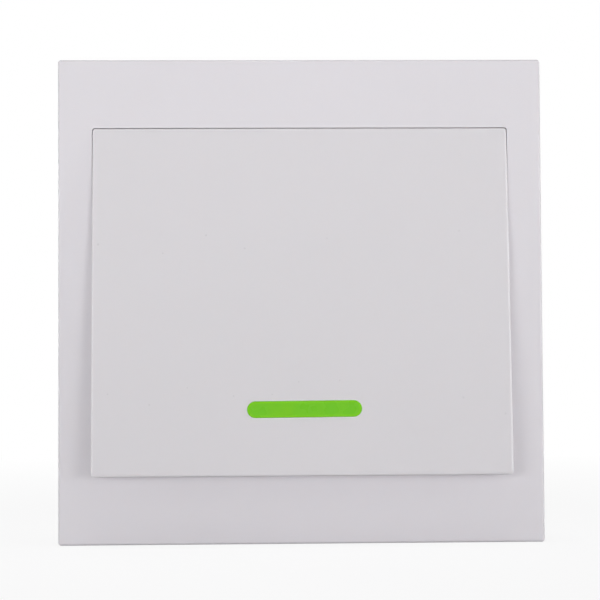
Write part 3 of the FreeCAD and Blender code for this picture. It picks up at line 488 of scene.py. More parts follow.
# %% Green resin
def green_resin():
    """Clear green plastic with a yellower rim of painted light and a soft sheen."""
    rim_begins, rim_ends = lens_width * 0.30, lens_width * 0.50
    # The rim's lighter, yellower green is painted light, for the light gathered by the window's own edge.
    rim_light_green = (0.200, 0.580, 0.006)
    finish = Finish("green_light_window", Specular_IOR_Level=0.25, IOR=1.5)
    centred = finish.node(
        "ShaderNodeVectorMath", {0: finish.place, 1: tuple(lens_middle)}, operation="SUBTRACT"
    )
    part = finish.node("ShaderNodeSeparateXYZ", {"Vector": centred.outputs["Vector"]})
    tree = finish.tree
    across = math_node(tree, "MULTIPLY_ADD", part.outputs["X"], -sin(lens_turn), part.outputs["Z"])
    along = math_node(tree, "ABSOLUTE", part.outputs["X"])
    past_straight = math_node(tree, "SUBTRACT", along, (lens_length - lens_width) / 2)
    beyond = math_node(tree, "MAXIMUM", past_straight, 0.0)
    squares = [math_node(tree, "POWER", value, 2.0) for value in (across, beyond)]
    reach = math_node(tree, "SQRT", math_node(tree, "ADD", *squares))
    rim = ramp_between(tree, reach, rim_begins, rim_ends)
    clouds = finish.drifting((0.150, 0.530, 0.012), (0.178, 0.538, 0.008), scale=260.0)
    finish.feed("Base Color", finish.mixed(rim, clouds["Colour"], rim_light_green))
    finish.feed("Roughness", finish.between(clouds["Share"], low=0.26, high=0.34))
    finish.bump(finish.group("grain", Scale=900.0)["Height"], depth=0.004 * MM)
    return finish.material


green_lens = green_resin()

# %% [markdown]
# ## Metals
# Inside there are drawn wire, rolled sheet, plated cans and zinc plated screws. All are metal with a
# narrow range of roughness. Lines in the direction of rolling or drawing break up their reflections,
# and their colour drifts a little, warmer for nickel and cooler for zinc and tin.

# %% Metals
def worked_metal(name, colour, drift, gloss, stretch, depth):
    """Metal with lines along its worked direction."""
    edge_lift = 1.15
    finish = Finish(name, Metallic=1.0)
    drifted = finish.drifting(colour, drift, scale=320.0)
    lines = finish.group("brushed", Stretch=stretch)["Height"]
    # The crests of the edges take a lighter colour, partly wear and partly a painted highlight.
    rubbed_and_highlit = finish.group("rub_and_highlight", Radius=0.12 * MM, Amount=0.5)["Mask"]
    finish.feed("Base Color", finish.mixed(rubbed_and_highlit, drifted["Colour"], scaled(colour, edge_lift)))
    finish.feed("Roughness", finish.between(lines, *gloss))
    finish.bump(lines, depth)
    return finish.material


ALONG_X = (300.0, 9000.0, 9000.0)
ALONG_Z = (9000.0, 9000.0, 300.0)
ROUND = (2500.0, 2500.0, 2500.0)
zinc_screw = worked_metal(
    "zinc_plated_screw", colour=(0.60, 0.61, 0.64), drift=(0.52, 0.53, 0.55), gloss=(0.22, 0.42),
    stretch=ROUND, depth=0.010 * MM,
)
spring_steel = worked_metal(
    "drawn_spring_wire", colour=(0.46, 0.46, 0.47), drift=(0.38, 0.38, 0.39), gloss=(0.20, 0.36),
    stretch=ROUND, depth=0.008 * MM,
)
tinned_sheet = worked_metal(
    "tinned_sheet", colour=(0.66, 0.66, 0.67), drift=(0.56, 0.56, 0.57), gloss=(0.24, 0.42),
    stretch=ALONG_X, depth=0.008 * MM,
)
plated_can = worked_metal(
    "nickel_plated_can", colour=(0.64, 0.62, 0.58), drift=(0.56, 0.54, 0.50), gloss=(0.12, 0.26),
    stretch=ALONG_X, depth=0.004 * MM,
)
contact_nickel = worked_metal(
    "nickel_contact", colour=(0.60, 0.57, 0.51), drift=(0.50, 0.47, 0.42), gloss=(0.20, 0.36),
    stretch=ALONG_Z, depth=0.008 * MM,
)
solder = worked_metal(
    "bright_solder", colour=(0.62, 0.63, 0.64), drift=(0.50, 0.51, 0.52), gloss=(0.16, 0.36),
    stretch=ROUND, depth=0.020 * MM,
)
copper_wire = worked_metal(
    "enamelled_copper", colour=(0.62, 0.27, 0.10), drift=(0.50, 0.19, 0.07), gloss=(0.18, 0.30),
    stretch=ROUND, depth=0.004 * MM,
)
print("metals ready")

# %% [markdown]
# ## The circuit board
# A board is glass cloth in resin, copper tracks, and a green mask over both. Where copper lies under
# the mask the green is lighter and stands a few hundredths of a millimetre proud. The tracks are made
# from cells on a square grid: the seams between them give straight runs that meet at right angles, and
# broad cells give the poured areas of copper.

# %% Board laminate
def board_laminate_finish():
    """Green mask over copper tracks and glass cloth."""
    seam_begins, seam_ends = 0.05, 0.075
    bare_share = 0.35
    weave_height = 0.15
    dark_resin = (0.010, 0.085, 0.034)
    light_resin = (0.014, 0.105, 0.042)
    masked_copper = (0.026, 0.215, 0.078)
    finish = Finish(
        "green_masked_board", Specular_IOR_Level=0.5, IOR=1.52, Coat_Weight=0.3, Coat_Roughness=0.2
    )
    tree = finish.tree
    nearest, second = [
        finish.node(
            "ShaderNodeTexVoronoi",
            {"Vector": finish.place, "Scale": 190.0, "Randomness": 0.75},
            distance="CHEBYCHEV",
            feature=feature,
        ).outputs
        for feature in ("F1", "F2")
    ]
    seam = math_node(tree, "SUBTRACT", second["Distance"], nearest["Distance"])
    gap = ramp_between(tree, seam, seam_begins, seam_ends)
    chance = finish.node("ShaderNodeSeparateColor", {"Color": nearest["Color"]}).outputs["Red"]
    pour = math_node(tree, "GREATER_THAN", chance, bare_share)
    copper = math_node(tree, "MULTIPLY", gap, pour)
    weave = finish.node(
        "ShaderNodeTexWave", {"Vector": finish.place, "Scale": 900.0, "Distortion": 1.5, "Detail": 1.0}
    ).outputs["Fac"]
    resin = finish.mixed(weave, dark_resin, light_resin)
    finish.feed("Base Color", finish.mixed(copper, resin, masked_copper))
    finish.feed("Roughness", finish.between(copper, low=0.42, high=0.28))
    finish.bump(math_node(tree, "MULTIPLY_ADD", weave, weave_height, copper), depth=0.035 * MM)
    return finish.material


board_laminate = board_laminate_finish()

# %% [markdown]
# ## Resins, ceramics and film
# Chips are dark resin with a coarse sparkle of silica. Chip resistors have a black glaze, and chip
# capacitors are bare tan ceramic. The supply capacitor is ochre resin. The lamp is milky resin, and
# the battery wears a plain grey shrink sleeve that wrinkles slightly round its ends.

# %% Resins and ceramics
def speckled_body(name, colour, speck, gloss, speck_scale, grain_depth, coat=0.0):
    """A moulded or fired body with a fine speckle."""
    drift_shade = 0.85
    edge_lift = 1.6
    grain_to_speck = 1.2
    finish = Finish(name, Specular_IOR_Level=0.5, IOR=1.55, Coat_Weight=coat, Coat_Roughness=0.1)
    drifted = finish.drifting(colour, scaled(colour, drift_shade), scale=500.0)
    specks = finish.group("dust", Scale=speck_scale, Size=0.35)["Mask"]
    # The crests of the edges take a lighter colour, partly wear and partly a painted highlight.
    rubbed_and_highlit = finish.group("rub_and_highlight", Radius=0.08 * MM, Amount=0.35)["Mask"]
    speckled = finish.mixed(specks, drifted["Colour"], speck)
    finish.feed("Base Color", finish.mixed(rubbed_and_highlit, speckled, scaled(colour, edge_lift, extra=0.01)))
    finish.feed("Roughness", finish.between(drifted["Share"], *gloss))
    finish.bump(finish.group("grain", Scale=speck_scale * grain_to_speck)["Height"], grain_depth)
    return finish.material


chip_resin = speckled_body(
    "dark_chip_resin", colour=(0.020, 0.020, 0.022), speck=(0.07, 0.07, 0.07), gloss=(0.48, 0.60),
    speck_scale=6000.0, grain_depth=0.012 * MM,
)
resistor_ceramic = speckled_body(
    "glazed_resistor", colour=(0.022, 0.022, 0.026), speck=(0.035, 0.035, 0.04), gloss=(0.20, 0.30),
    speck_scale=5000.0, grain_depth=0.004 * MM, coat=0.5,
)
capacitor_ceramic = speckled_body(
    "fired_capacitor", colour=(0.40, 0.27, 0.16), speck=(0.30, 0.20, 0.12), gloss=(0.40, 0.52),
    speck_scale=5200.0, grain_depth=0.008 * MM,
)
tantalum_resin = speckled_body(
    "ochre_capacitor", colour=(0.62, 0.36, 0.04), speck=(0.50, 0.28, 0.03), gloss=(0.34, 0.46),
    speck_scale=4200.0, grain_depth=0.010 * MM,
)


# %% Lamp resin and battery sleeve
def lamp_resin_finish():
    """Milky resin that lets some light through."""
    finish = Finish(
        "milky_lamp_resin", Specular_IOR_Level=0.5, IOR=1.5, Transmission_Weight=0.35, Coat_Weight=0.2
    )
    drifted = finish.drifting((0.62, 0.80, 0.55), (0.52, 0.74, 0.45), scale=900.0)
    finish.feed("Base Color", drifted["Colour"])
    finish.feed("Roughness", finish.between(drifted["Share"], low=0.22, high=0.32))
    finish.bump(finish.group("grain", Scale=4000.0)["Height"], depth=0.004 * MM)
    return finish.material


def shrink_sleeve_finish():
    """Plain grey shrink film, with wrinkles along the battery."""
    finish = Finish(
        "plain_shrink_sleeve", Specular_IOR_Level=0.5, IOR=1.5, Coat_Weight=0.4, Coat_Roughness=0.08
    )
    drifted = finish.drifting((0.36, 0.37, 0.40), (0.31, 0.32, 0.35), scale=160.0)
    wrinkles = finish.group("brushed", Stretch=(90.0, 1400.0, 1400.0))["Height"]
    finish.feed("Base Color", drifted["Colour"])
    finish.feed("Roughness", finish.between(wrinkles, low=0.16, high=0.30))
    finish.bump(wrinkles, depth=0.05 * MM)
    return finish.material


lamp_resin = lamp_resin_finish()
battery_wrap = shrink_sleeve_finish()

# %% [markdown]
# ## Foam tape
# The two strips on the back are closed-cell foam with glue on both faces, and a thin paper liner keeps
# the outer face clean until the switch is put up. The foam shows cut cells at its sides. The liner is
# waxed paper: smooth, pale honey, with faint fibres.

# %% Foam and liner
def foam_finish():
    """White closed-cell foam with its cut cells, painted darker in their hollows as shade."""
    cell_middle, cell_wall = 0.1, 0.7
    # The middle of each cut cell is painted darker, as shade in its hollow.
    painted_cell_shade = (0.40, 0.40, 0.385)
    finish = Finish("closed_cell_foam", Specular_IOR_Level=0.3)
    cells = finish.node("ShaderNodeTexVoronoi", {"Vector": finish.place, "Scale": 2600.0}, feature="F1")
    hollow = ramp_between(finish.tree, cells.outputs["Distance"], cell_middle, cell_wall)
    drifted = finish.drifting((0.62, 0.62, 0.60), (0.56, 0.56, 0.54), scale=90.0)
    finish.feed("Base Color", finish.mixed(hollow, painted_cell_shade, drifted["Colour"]))
    finish.feed("Roughness", finish.between(hollow, low=0.95, high=0.75))
    finish.bump(hollow, depth=0.08 * MM)
    return finish.material


def liner_finish():
    """Waxed paper, pale cream, with faint fibres lying every way."""
    faint_fibre, full_fibre = 0.40, 0.70
    fibre_shade = (0.76, 0.71, 0.57)
    finish = Finish(
        "waxed_paper_liner", Specular_IOR_Level=0.5, IOR=1.45, Coat_Weight=0.1, Coat_Roughness=0.3
    )
    fibres = finish.group("brushed", Stretch=(1500.0, 1500.0, 1500.0))["Height"]
    drifted = finish.drifting((0.72, 0.66, 0.50), (0.68, 0.61, 0.44), scale=55.0)
    fibre_share = ramp_between(finish.tree, fibres, faint_fibre, full_fibre)
    finish.feed("Base Color", finish.mixed(fibre_share, drifted["Colour"], fibre_shade))
    finish.feed("Roughness", finish.between(fibres, low=0.34, high=0.50))
    finish.bump(fibres, depth=0.010 * MM)
    return finish.material


foam_tape = foam_finish()
liner_paper = liner_finish()
print("finishes:", len([m for m in bpy.data.materials if m.use_nodes]))

# %% [markdown]
# ## Building a moulded shell from outlines
# A moulding is a closed skin. Seen in the order in which a finger would run over it, from the inside
# of the rim, out, over the edge, across the face and back down the window, it is a row of rounded
# rectangles, each at its own depth. Joining each outline to the next with quads gives a clean closed
# mesh with full control of every edge radius. An outline a little way beyond each rounding keeps the
# flat faces flat when the shading is smooth.

# %% Outlines
CORNER_STEPS = 6
EDGE_STEPS = 10
FINE_EDGE_STEPS = 5
HALF_TURN_STEPS = 14


def rounded_outline(left, right, low, high, corner):
    """The (x, z) points of a rectangle with rounded corners."""
    centres = (
        (right - corner, high - corner, 0),
        (left + corner, high - corner, 90),
        (left + corner, low + corner, 180),
        (right - corner, low + corner, 270),
    )
    points = []
    for x, z, start in centres:
        for step in range(CORNER_STEPS + 1):
            angle = radians(start + 90 * step / CORNER_STEPS)
            points.append((x + corner * cos(angle), z + corner * sin(angle)))
    return points


def bar_outline(length, width):
    """The (x, z) points of a bar with full round ends, about its middle."""
    reach = (length - width) / 2
    points = []
    for side, start in ((1, -90), (-1, 90)):
        for step in range(HALF_TURN_STEPS + 1):
            angle = radians(start + 180 * step / HALF_TURN_STEPS)
            points.append((side * reach + width / 2 * cos(angle), width / 2 * sin(angle)))
    return points


def at_depth(flat, y):
    """Points (x, z) set at one depth."""
    return [(x, y, z) for x, z in flat]


def quarter_round(radius, steps):
    """A rounded edge between two faces, as (distance from the first, distance from the second)."""
    angles = [radians(90 * step / steps) for step in range(steps + 1)]
    return [(radius * (1 - cos(angle)), radius * (1 - sin(angle))) for angle in angles]


def round_the_circle(steps):
    """Points evenly round a circle of radius 1."""
    angles = [2 * pi * step / steps for step in range(steps)]
    return [(cos(angle), sin(angle)) for angle in angles]


# %% Skins
def ring_of(mesh, points):
    """Add the points as vertices and give them back in order."""
    return [mesh.verts.new(point) for point in points]


def join_rings(mesh, first, second):
    """Join two rings of as many vertices with quads."""
    count = len(first)
    for index in range(count):
        after = (index + 1) % count
        mesh.faces.new((first[index], first[after], second[after], second[index]))


def join_chain(mesh, rings):
    """Join each ring to the next."""
    for first, second in zip(rings, rings[1:]):
        join_rings(mesh, first, second)


def add_skin(mesh, outlines):
    """Add a closed skin over a row of outlines, with a face over the first and over the last."""
    rings = [ring_of(mesh, points) for points in outlines]
    join_chain(mesh, rings)
    mesh.faces.new(rings[0])
    mesh.faces.new(rings[-1])


def fill_between(mesh, outer, inner):
    """Fill the flat space between two rings that have different numbers of vertices."""
    edges = []
    for ring in (outer, inner):
        for index, vertex in enumerate(ring):
            neighbour = ring[(index + 1) % len(ring)]
            edges.append(mesh.edges.get((vertex, neighbour)) or mesh.edges.new((vertex, neighbour)))
    bmesh.ops.triangle_fill(mesh, use_beauty=True, use_dissolve=False, edges=edges)


def finished_object(mesh, name, material):
    """Turn the mesh into an object with outward faces and its finish."""
    bmesh.ops.recalc_face_normals(mesh, faces=mesh.faces[:])
    data = bpy.data.meshes.new(name)
    mesh.to_mesh(data)
    mesh.free()
    data.materials.append(material)
    piece = bpy.data.objects.new(name, data)
    bpy.context.scene.collection.objects.link(piece)
    return piece


def skin_object(outlines, name, material):
    """An object whose closed skin runs over a row of outlines."""
    mesh = bmesh.new()
    add_skin(mesh, outlines)
    return finished_object(mesh, name, material)


def loose_edges(piece):
    """How many edges don't have exactly two faces; a closed skin has none."""
    mesh = bmesh.new()
    mesh.from_mesh(piece.data)
    count = sum(len(edge.link_faces) != 2 for edge in mesh.edges)
    mesh.free()
    return count


# %% [markdown]
# ## Adding and cutting
# Hooks, ribs, pins and notches are simple blocks and rods that melt into the shell. A boolean does that
# as the mould does: what is added becomes one skin with the shell, with no faces left inside it.

# %% Blocks, rods and booleans
ROD_SIDES = 40
FLAT_FACE_WEIGHT = 80


def solid_prism(points, left, right, material):
    """A bar along X whose section is a polygon of (y, z) points."""
    ends = [[(x, y, z) for y, z in points] for x in (left, right)]
    return skin_object(ends, "prism", material)


def solid_rod(radius, start, end, material):
    """A round bar from start to end."""
    start, end = Vector(start), Vector(end)
    turn = (end - start).to_track_quat("Z", "Y").to_matrix()
    spokes = [Vector((x, y, 0)) for x, y in round_the_circle(ROD_SIDES)]
    ends = [[centre + turn @ (spoke * radius) for spoke in spokes] for centre in (start, end)]
    return skin_object(ends, "rod", material)


def melt(piece, others, operation):
    """Add the others to the piece, or cut them from it, and delete them."""
    for other in others:
        boolean = piece.modifiers.new("melt", "BOOLEAN")
        boolean.object = other
        boolean.operation = operation
        boolean.solver = "EXACT"
    bpy.context.view_layer.update()
    done = piece.evaluated_get(bpy.context.evaluated_depsgraph_get())
    result = bpy.data.meshes.new_from_object(done)
    piece.modifiers.clear()
    piece.data = result
    for other in others:
        bpy.data.objects.remove(other)
    return piece


def smooth_shading(piece, sharpest=50):
    """Smooth shading that keeps flat faces flat, and edges sharper than this many degrees sharp."""
    for face in piece.data.polygons:
        face.use_smooth = True
    piece.data.set_sharp_from_angle(angle=radians(sharpest))
    weights = piece.modifiers.new("flat faces stay flat", "WEIGHTED_NORMAL")
    weights.keep_sharp = True
    weights.weight = FLAT_FACE_WEIGHT
    return piece


# %% [markdown]
# ## The plate
# The plate is a shallow lid, open at the back, with a window for the key. Its front edge is rounded by
# less than half a millimetre, so that it looks crisp, and the window's edge is only just broken, so
# that the gap round the key stays a crisp dark line. A collar behind the window stiffens it.

# %% The plate's outlines
window_right = key_half + key_gap
window_high = key_top + key_gap
window_low = key_bottom - swing_gap
skin_back = plate_front + plate_skin
collar_back = skin_back + collar_depth


def plate_outline(inset, corner, y):
    """A rounded rectangle inside the plate's outside."""
    flat = rounded_outline(
        plate_low.x + inset, plate_high.x - inset, plate_low.z + inset, plate_high.z - inset, corner
    )
    return at_depth(flat, y)


def window_outline(outset, corner, y):
    """A rounded rectangle round the window."""
    flat = rounded_outline(
        -window_right - outset, window_right + outset, window_low - outset, window_high + outset, corner
    )
    return at_depth(flat, y)


def plate_rings():
    """The outlines of the plate's skin, from the inside of its rim, over the front, and back inside."""
    rings = [
        plate_outline(plate_wall, inner_corner, plate_back),
        plate_outline(tiny_edge, plate_corner - tiny_edge, plate_back),
        plate_outline(0.0, plate_corner, plate_back - tiny_edge),
        plate_outline(0.0, plate_corner, plate_front + plate_edge + hold),
    ]
    for inset, behind in quarter_round(plate_edge, EDGE_STEPS):
        rings.append(plate_outline(inset, plate_corner - inset, plate_front + behind))
    rings.append(plate_outline(plate_edge + hold, plate_corner, plate_front))
    rings.append(window_outline(window_edge + hold, window_corner + window_edge, plate_front))
    for behind, outset in quarter_round(window_edge, FINE_EDGE_STEPS):
        rings.append(window_outline(outset, window_corner + outset, plate_front + behind))
    return rings + [
        window_outline(0.0, window_corner, plate_front + window_edge + hold),
        window_outline(0.0, window_corner, collar_back - tiny_edge),
        window_outline(tiny_edge, window_corner + tiny_edge, collar_back),
        window_outline(collar_wall, window_corner + collar_wall, collar_back),
        window_outline(collar_wall, window_corner + collar_wall, skin_back),
        plate_outline(plate_wall, inner_corner, skin_back),
    ]


# %% The plate's nubs and notch
snap_x = 25.0 * MM
snap_length = 8.0 * MM
snap_out = 4.0 * MM
snap_thick = 1.4 * MM
snap_reach = 0.9 * MM
sink = 0.1 * MM
pry_length = 10.0 * MM
pry_height = 1.5 * MM


def snap_nub(x, side):
    """A nub inside the plate's upper or lower wall, which snaps into the base."""
    wall = side * (plate_high.z - plate_wall)
    points = (
        (-snap_out, wall + side * sink),
        (-snap_out, wall),
        (-snap_out - snap_thick / 2, wall - side * snap_reach),
        (-snap_out - snap_thick, wall),
        (-snap_out - snap_thick, wall + side * sink),
    )
    return solid_prism(points, x - snap_length / 2, x + snap_length / 2, white_housing)


def pry_notch():
    """The block that cuts the notch for a screwdriver in the plate's lower edge."""
    outside = plate_low.z - pry_height
    inside = plate_low.z + plate_wall + sink
    points = (
        (plate_back + sink, outside),
        (plate_back - pry_height, outside),
        (plate_back - pry_height, inside),
        (plate_back + sink, inside),
    )
    return solid_prism(points, -pry_length / 2, pry_length / 2, white_housing)


# %% Build the plate
def build_plate():
    """The plate's skin, closed from its last outline to its first, with its nubs and notch."""
    mesh = bmesh.new()
    rings = [ring_of(mesh, points) for points in plate_rings()]
    join_chain(mesh, rings + rings[:1])
    plate = finished_object(mesh, "plate", white_housing)
    nubs = [snap_nub(x, side) for x in (-snap_x, snap_x) for side in SIDES]
    melt(plate, nubs, "UNION")
    melt(plate, [pry_notch()], "DIFFERENCE")
    return smooth_shading(plate)


plate = build_plate()
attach(plate, "housing")
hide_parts("front_frame")
print("plate:", len(plate.data.polygons), "faces,", loose_edges(plate), "loose edges")

# %% [markdown]
# ## The key
# The key is a tilted lid. Its face is level with the plate at the top and stands 5 mm proud at the
# bottom, so every outline that belongs to the face takes its depth from its height. The face has an
# opening for the light window, whose outline has more points than the key's. The flat space between
# the two is filled with triangles, which a flat face can take without any harm to its shading. The
# lower edge, which a finger meets, is rounded further into the face than the other three.

# %% The key's outlines
def face_depth(z):
    """The key's face at this height."""
    return plate_front - (key_top - z) * key_rise / key_height


def key_flat(inset, corner, low_share=1.0):
    """A flat rounded rectangle inside the key's outside, whose inset below is this share of the others."""
    low = key_bottom + inset * low_share
    return rounded_outline(-key_half + inset, key_half - inset, low, key_top - inset, corner)


def key_outline(inset, corner, behind, low_share=1.0):
    """An outline of the key, this far behind its face."""
    return [(x, face_depth(z) + behind, z) for x, z in key_flat(inset, corner, low_share)]


def key_outline_level(inset, corner, y):
    """An outline of the key at one depth."""
    return at_depth(key_flat(inset, corner), y)


def lens_bar(length, width, behind):
    """A bar with round ends on the key's face, this far behind it."""
    return [face_place @ Vector((x, behind, z)) for x, z in bar_outline(length, width)]


key_under = key_skin / cos(key_tilt)
hole_edge = 0.03 * MM


def build_key_shell():
    """The key's skin and walls, closed, with the opening for the light window."""
    mesh = bmesh.new()
    outside = [
        key_outline_level(key_wall, inner_corner, collar_back),
        key_outline_level(tiny_edge, key_corner - tiny_edge, collar_back),
        key_outline_level(0.0, key_corner, collar_back - tiny_edge),
        key_outline(0.0, key_corner, key_edge + hold),
    ]
    for inset, behind in quarter_round(key_edge, EDGE_STEPS):
        outside.append(key_outline(inset, key_corner - inset, behind, key_low_round))
    outside.append(key_outline(key_edge + hold, key_corner - key_edge + hold, 0.0, key_low_round))
    rings = [ring_of(mesh, points) for points in outside]
    join_chain(mesh, rings)
    length = lens_length + lens_fit * 2
    width = lens_width + lens_fit * 2
    hole = [
        lens_bar(length + 2 * hole_edge, width + 2 * hole_edge, 0.0),
        lens_bar(length, width, hole_edge),
        lens_bar(length, width, key_skin),
    ]
    hole_rings = [ring_of(mesh, points) for points in hole]
    join_chain(mesh, hole_rings)
    fill_between(mesh, rings[-1], hole_rings[0])
    under = ring_of(mesh, key_outline(key_wall, inner_corner, key_under))
    join_rings(mesh, under, rings[0])
    fill_between(mesh, under, hole_rings[-1])
    return finished_object(mesh, "key_cap", white_key)


# %% [markdown]
# ## What hangs behind the key
# The key turns on two short pins. Behind its face there are two ribs, the post that works the push
# switch, the seats of the two return springs, the posts that stop its travel, the stakes that hold
# the light window, and two hooks that keep it from springing out of the plate.

# %% Sizes behind the key
hinge_drop = 4.5 * MM
hinge_z = key_high.z - hinge_drop
hinge_y = -8.0 * MM
pin_radius = 1.2 * MM
pin_length = 1.8 * MM
cheek_radius = 2.2 * MM
deck_top = -10.4 * MM
deck_back = -9.0 * MM
spring_x = (spring_low.x + spring_high.x) / 2
spring_z = (spring_low.z + spring_high.z) / 2
seat_radius = 3.0 * MM
seat_drop = 0.4 * MM
guide_radius = 1.75 * MM
guide_length = 1.4 * MM
hook_x = spring_x - 6.0 * MM
hook_width = 4.0 * MM
hook_reach = 1.4 * MM
hook_thick = 1.25 * MM
hook_slope = 0.7 * MM
hook_play = 0.15 * MM
stop_x = lens_centre_x + 15.57 * MM
stop_z = key_bottom + 10.75 * MM
stop_radius = 1.5 * MM
stop_play = 0.15 * MM
key_travel = radians(2.0)
rib_x = 12.0 * MM
rib_thick = 1.0 * MM
rib_height = 1.0 * MM
post_radius = 1.2 * MM
post_gap = 0.1 * MM
post_z = (plunger_low.z + plunger_high.z) / 2
rib_high = post_z - 5.25 * MM
rib_low = lens_middle.z + 7.2 * MM
stake_reach = 12.2 * MM
stake_radius = 0.55 * MM
stake_head_radius = 1.0 * MM
stake_head_thick = 0.5 * MM
lens_flange_thick = 1.0 * MM
lens_flange_length = 27.0 * MM
lens_flange_width = 5.2 * MM


# %% The pieces behind the key
def under_face(z):
    """The back of the key's skin at this height."""
    return face_depth(z) + key_under


def in_skin(z):
    """The middle of the key's skin at this height, where what hangs from it is rooted."""
    return face_depth(z) + key_under / 2


def key_post_rod(radius, x, z, end):
    """A rod from the key's skin straight back to the given depth."""
    return solid_rod(radius, (x, in_skin(z), z), (x, end, z), white_key)


def key_hinge(side):
    """The cheek beside the carrier's ear, its neck and the pin."""
    inner = side * (key_half - key_wall)
    outer = side * (key_half - tiny_edge)
    tip = side * (key_half - key_wall - pin_length)
    left, right = sorted((inner, outer))
    neck = (
        (hinge_y, hinge_z - cheek_radius),
        (hinge_y, hinge_z + cheek_radius),
        (collar_back - key_wall, hinge_z + cheek_radius),
        (collar_back - key_wall, hinge_z - cheek_radius),
    )
    return [
        solid_rod(cheek_radius, (inner, hinge_y, hinge_z), (outer, hinge_y, hinge_z), white_key),
        solid_prism(neck, left, right, white_key),
        solid_rod(pin_radius, (inner + side * sink, hinge_y, hinge_z), (tip, hinge_y, hinge_z), white_key),
    ]


def key_hook(side):
    """A hook on the key's lower wall, which catches under the carrier's edge."""
    outer = key_bottom + tiny_edge
    inner = key_bottom + key_wall
    top = deck_back + hook_play
    low = top + hook_thick
    root = collar_back - key_edge
    points = (
        (root, outer),
        (low, outer),
        (low, inner),
        (low - hook_slope, inner + hook_reach),
        (top, inner + hook_reach),
        (top, inner),
        (root, inner),
    )
    return solid_prism(points, side * hook_x - hook_width / 2, side * hook_x + hook_width / 2, white_key)


def key_rib(side):
    """A stiffening rib behind the key's face."""
    points = (
        (in_skin(rib_high), rib_high),
        (in_skin(rib_low), rib_low),
        (under_face(rib_low) + rib_height, rib_low),
        (under_face(rib_high) + rib_height, rib_high),
    )
    return solid_prism(points, side * rib_x - rib_thick / 2, side * rib_x + rib_thick / 2, white_key)


def key_stake(side):
    """A stake that holds the light window, with its melted head."""
    def on_axis(behind):
        """The point of the stake's axis that lies this far behind the face."""
        return face_place @ Vector((side * stake_reach, behind, 0.0))

    end = key_skin + lens_flange_thick + stake_head_thick
    return [
        solid_rod(stake_radius, on_axis(key_skin / 2), on_axis(end - sink), white_key),
        solid_rod(stake_head_radius, on_axis(end - stake_head_thick), on_axis(end), white_key),
    ]


# %% Build the key
def build_key():
    """The key's shell with everything that hangs behind it, as one skin."""
    key = build_key_shell()
    print("key shell:", loose_edges(key), "loose edges")
    stop_end = deck_top - (hinge_z - stop_z) * sin(key_travel) - stop_play
    seat_end = under_face(spring_z) + seat_drop
    added = [key_post_rod(post_radius, 0.0, post_z, plunger_low.y - post_gap)]
    for side in SIDES:
        added += key_hinge(side) + key_stake(side)
        added += [key_hook(side), key_rib(side)]
        added.append(key_post_rod(stop_radius, side * stop_x, stop_z, stop_end))
        added.append(key_post_rod(seat_radius, side * spring_x, spring_z, seat_end))
        added.append(key_post_rod(guide_radius, side * spring_x, spring_z, seat_end + guide_length))
    return smooth_shading(melt(key, added, "UNION"))


key_cap = build_key()
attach(key_cap, "key")
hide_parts("key")
print("key:", len(key_cap.data.polygons), "faces,", loose_edges(key_cap), "loose edges")

# %% [markdown]
# ## The light window
# The window is a bar with full round ends that stands a tenth of a millimetre out of the key's face,
# on a wider flange behind the face, which the two stakes go through. Its rim is rounded, so that it
# shows a fine line of light against the white.

# %% Build the light window
lens_rim = 0.09 * MM


def lens_outline(inset, behind):
    """An outline of the bar inside its outside, this far behind the key's face."""
    return lens_bar(lens_length - 2 * inset, lens_width - 2 * inset, behind)


def build_light_window():
    """The flange, the bar in the key's opening and its rounded rim, with the holes for the stakes."""
    back = key_skin + lens_flange_thick
    rings = [lens_bar(lens_flange_length, lens_flange_width, behind) for behind in (back, key_skin)]
    rings.append(lens_outline(0.0, key_skin))
    rings.append(lens_outline(0.0, lens_rim - lens_proud + hold))
    for inset, behind in quarter_round(lens_rim, FINE_EDGE_STEPS):
        rings.append(lens_outline(inset, behind - lens_proud))
    rings.append(lens_outline(lens_rim + hold, -lens_proud))
    window = skin_object(rings, "light_window", green_lens)
    holes = []
    for side in SIDES:
        start = face_place @ Vector((side * stake_reach, key_skin - sink, 0.0))
        end = face_place @ Vector((side * stake_reach, back + sink, 0.0))
        holes.append(solid_rod(stake_radius + stake_fit, start, end, green_lens))
    return smooth_shading(melt(window, holes, "DIFFERENCE"))


light_window = build_light_window()
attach(light_window, "key")
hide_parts("indicator_lens")
print("light window:", len(light_window.data.polygons), "faces,", loose_edges(light_window), "loose edges")

# %% [markdown]
# ## Springs and snap dome
# Two coil springs push the key out. The end turns of each lie close together, so that it stands
# straight in its well, and the pitch between them is even. The push switch clicks by a thin steel
# dome. A curve with a bevel could make the wire, but a tube swept along the coil's line gives a
# closed skin at once.

# %% Wind the return springs
WIRE_SIDES = 12
STEPS_A_TURN = 32
spring_wire = 0.4 * MM
spring_turns = 8.5
closed_turns = 0.8
easing_turns = 0.5
closed_pitch = 1.04 * spring_wire
spring_radius = (spring_high.x - spring_low.x) / 2
spring_length = spring_high.y - spring_low.y


def coil_steps(rise):
    """The wire's line as (turn, height): close turns at both ends and an even pitch between."""
    count = round(spring_turns * STEPS_A_TURN)
    turns = [spring_turns * step / count for step in range(count + 1)]
    opened = [0.0]
    for turn in turns[1:]:
        past_closed = min(turn, spring_turns - turn) - closed_turns
        opened.append(opened[-1] + min(1.0, max(0.0, past_closed / easing_turns)))
    spare = rise - closed_pitch * spring_turns
    return [(turn, closed_pitch * turn + spare * part / opened[-1]) for turn, part in zip(turns, opened)]


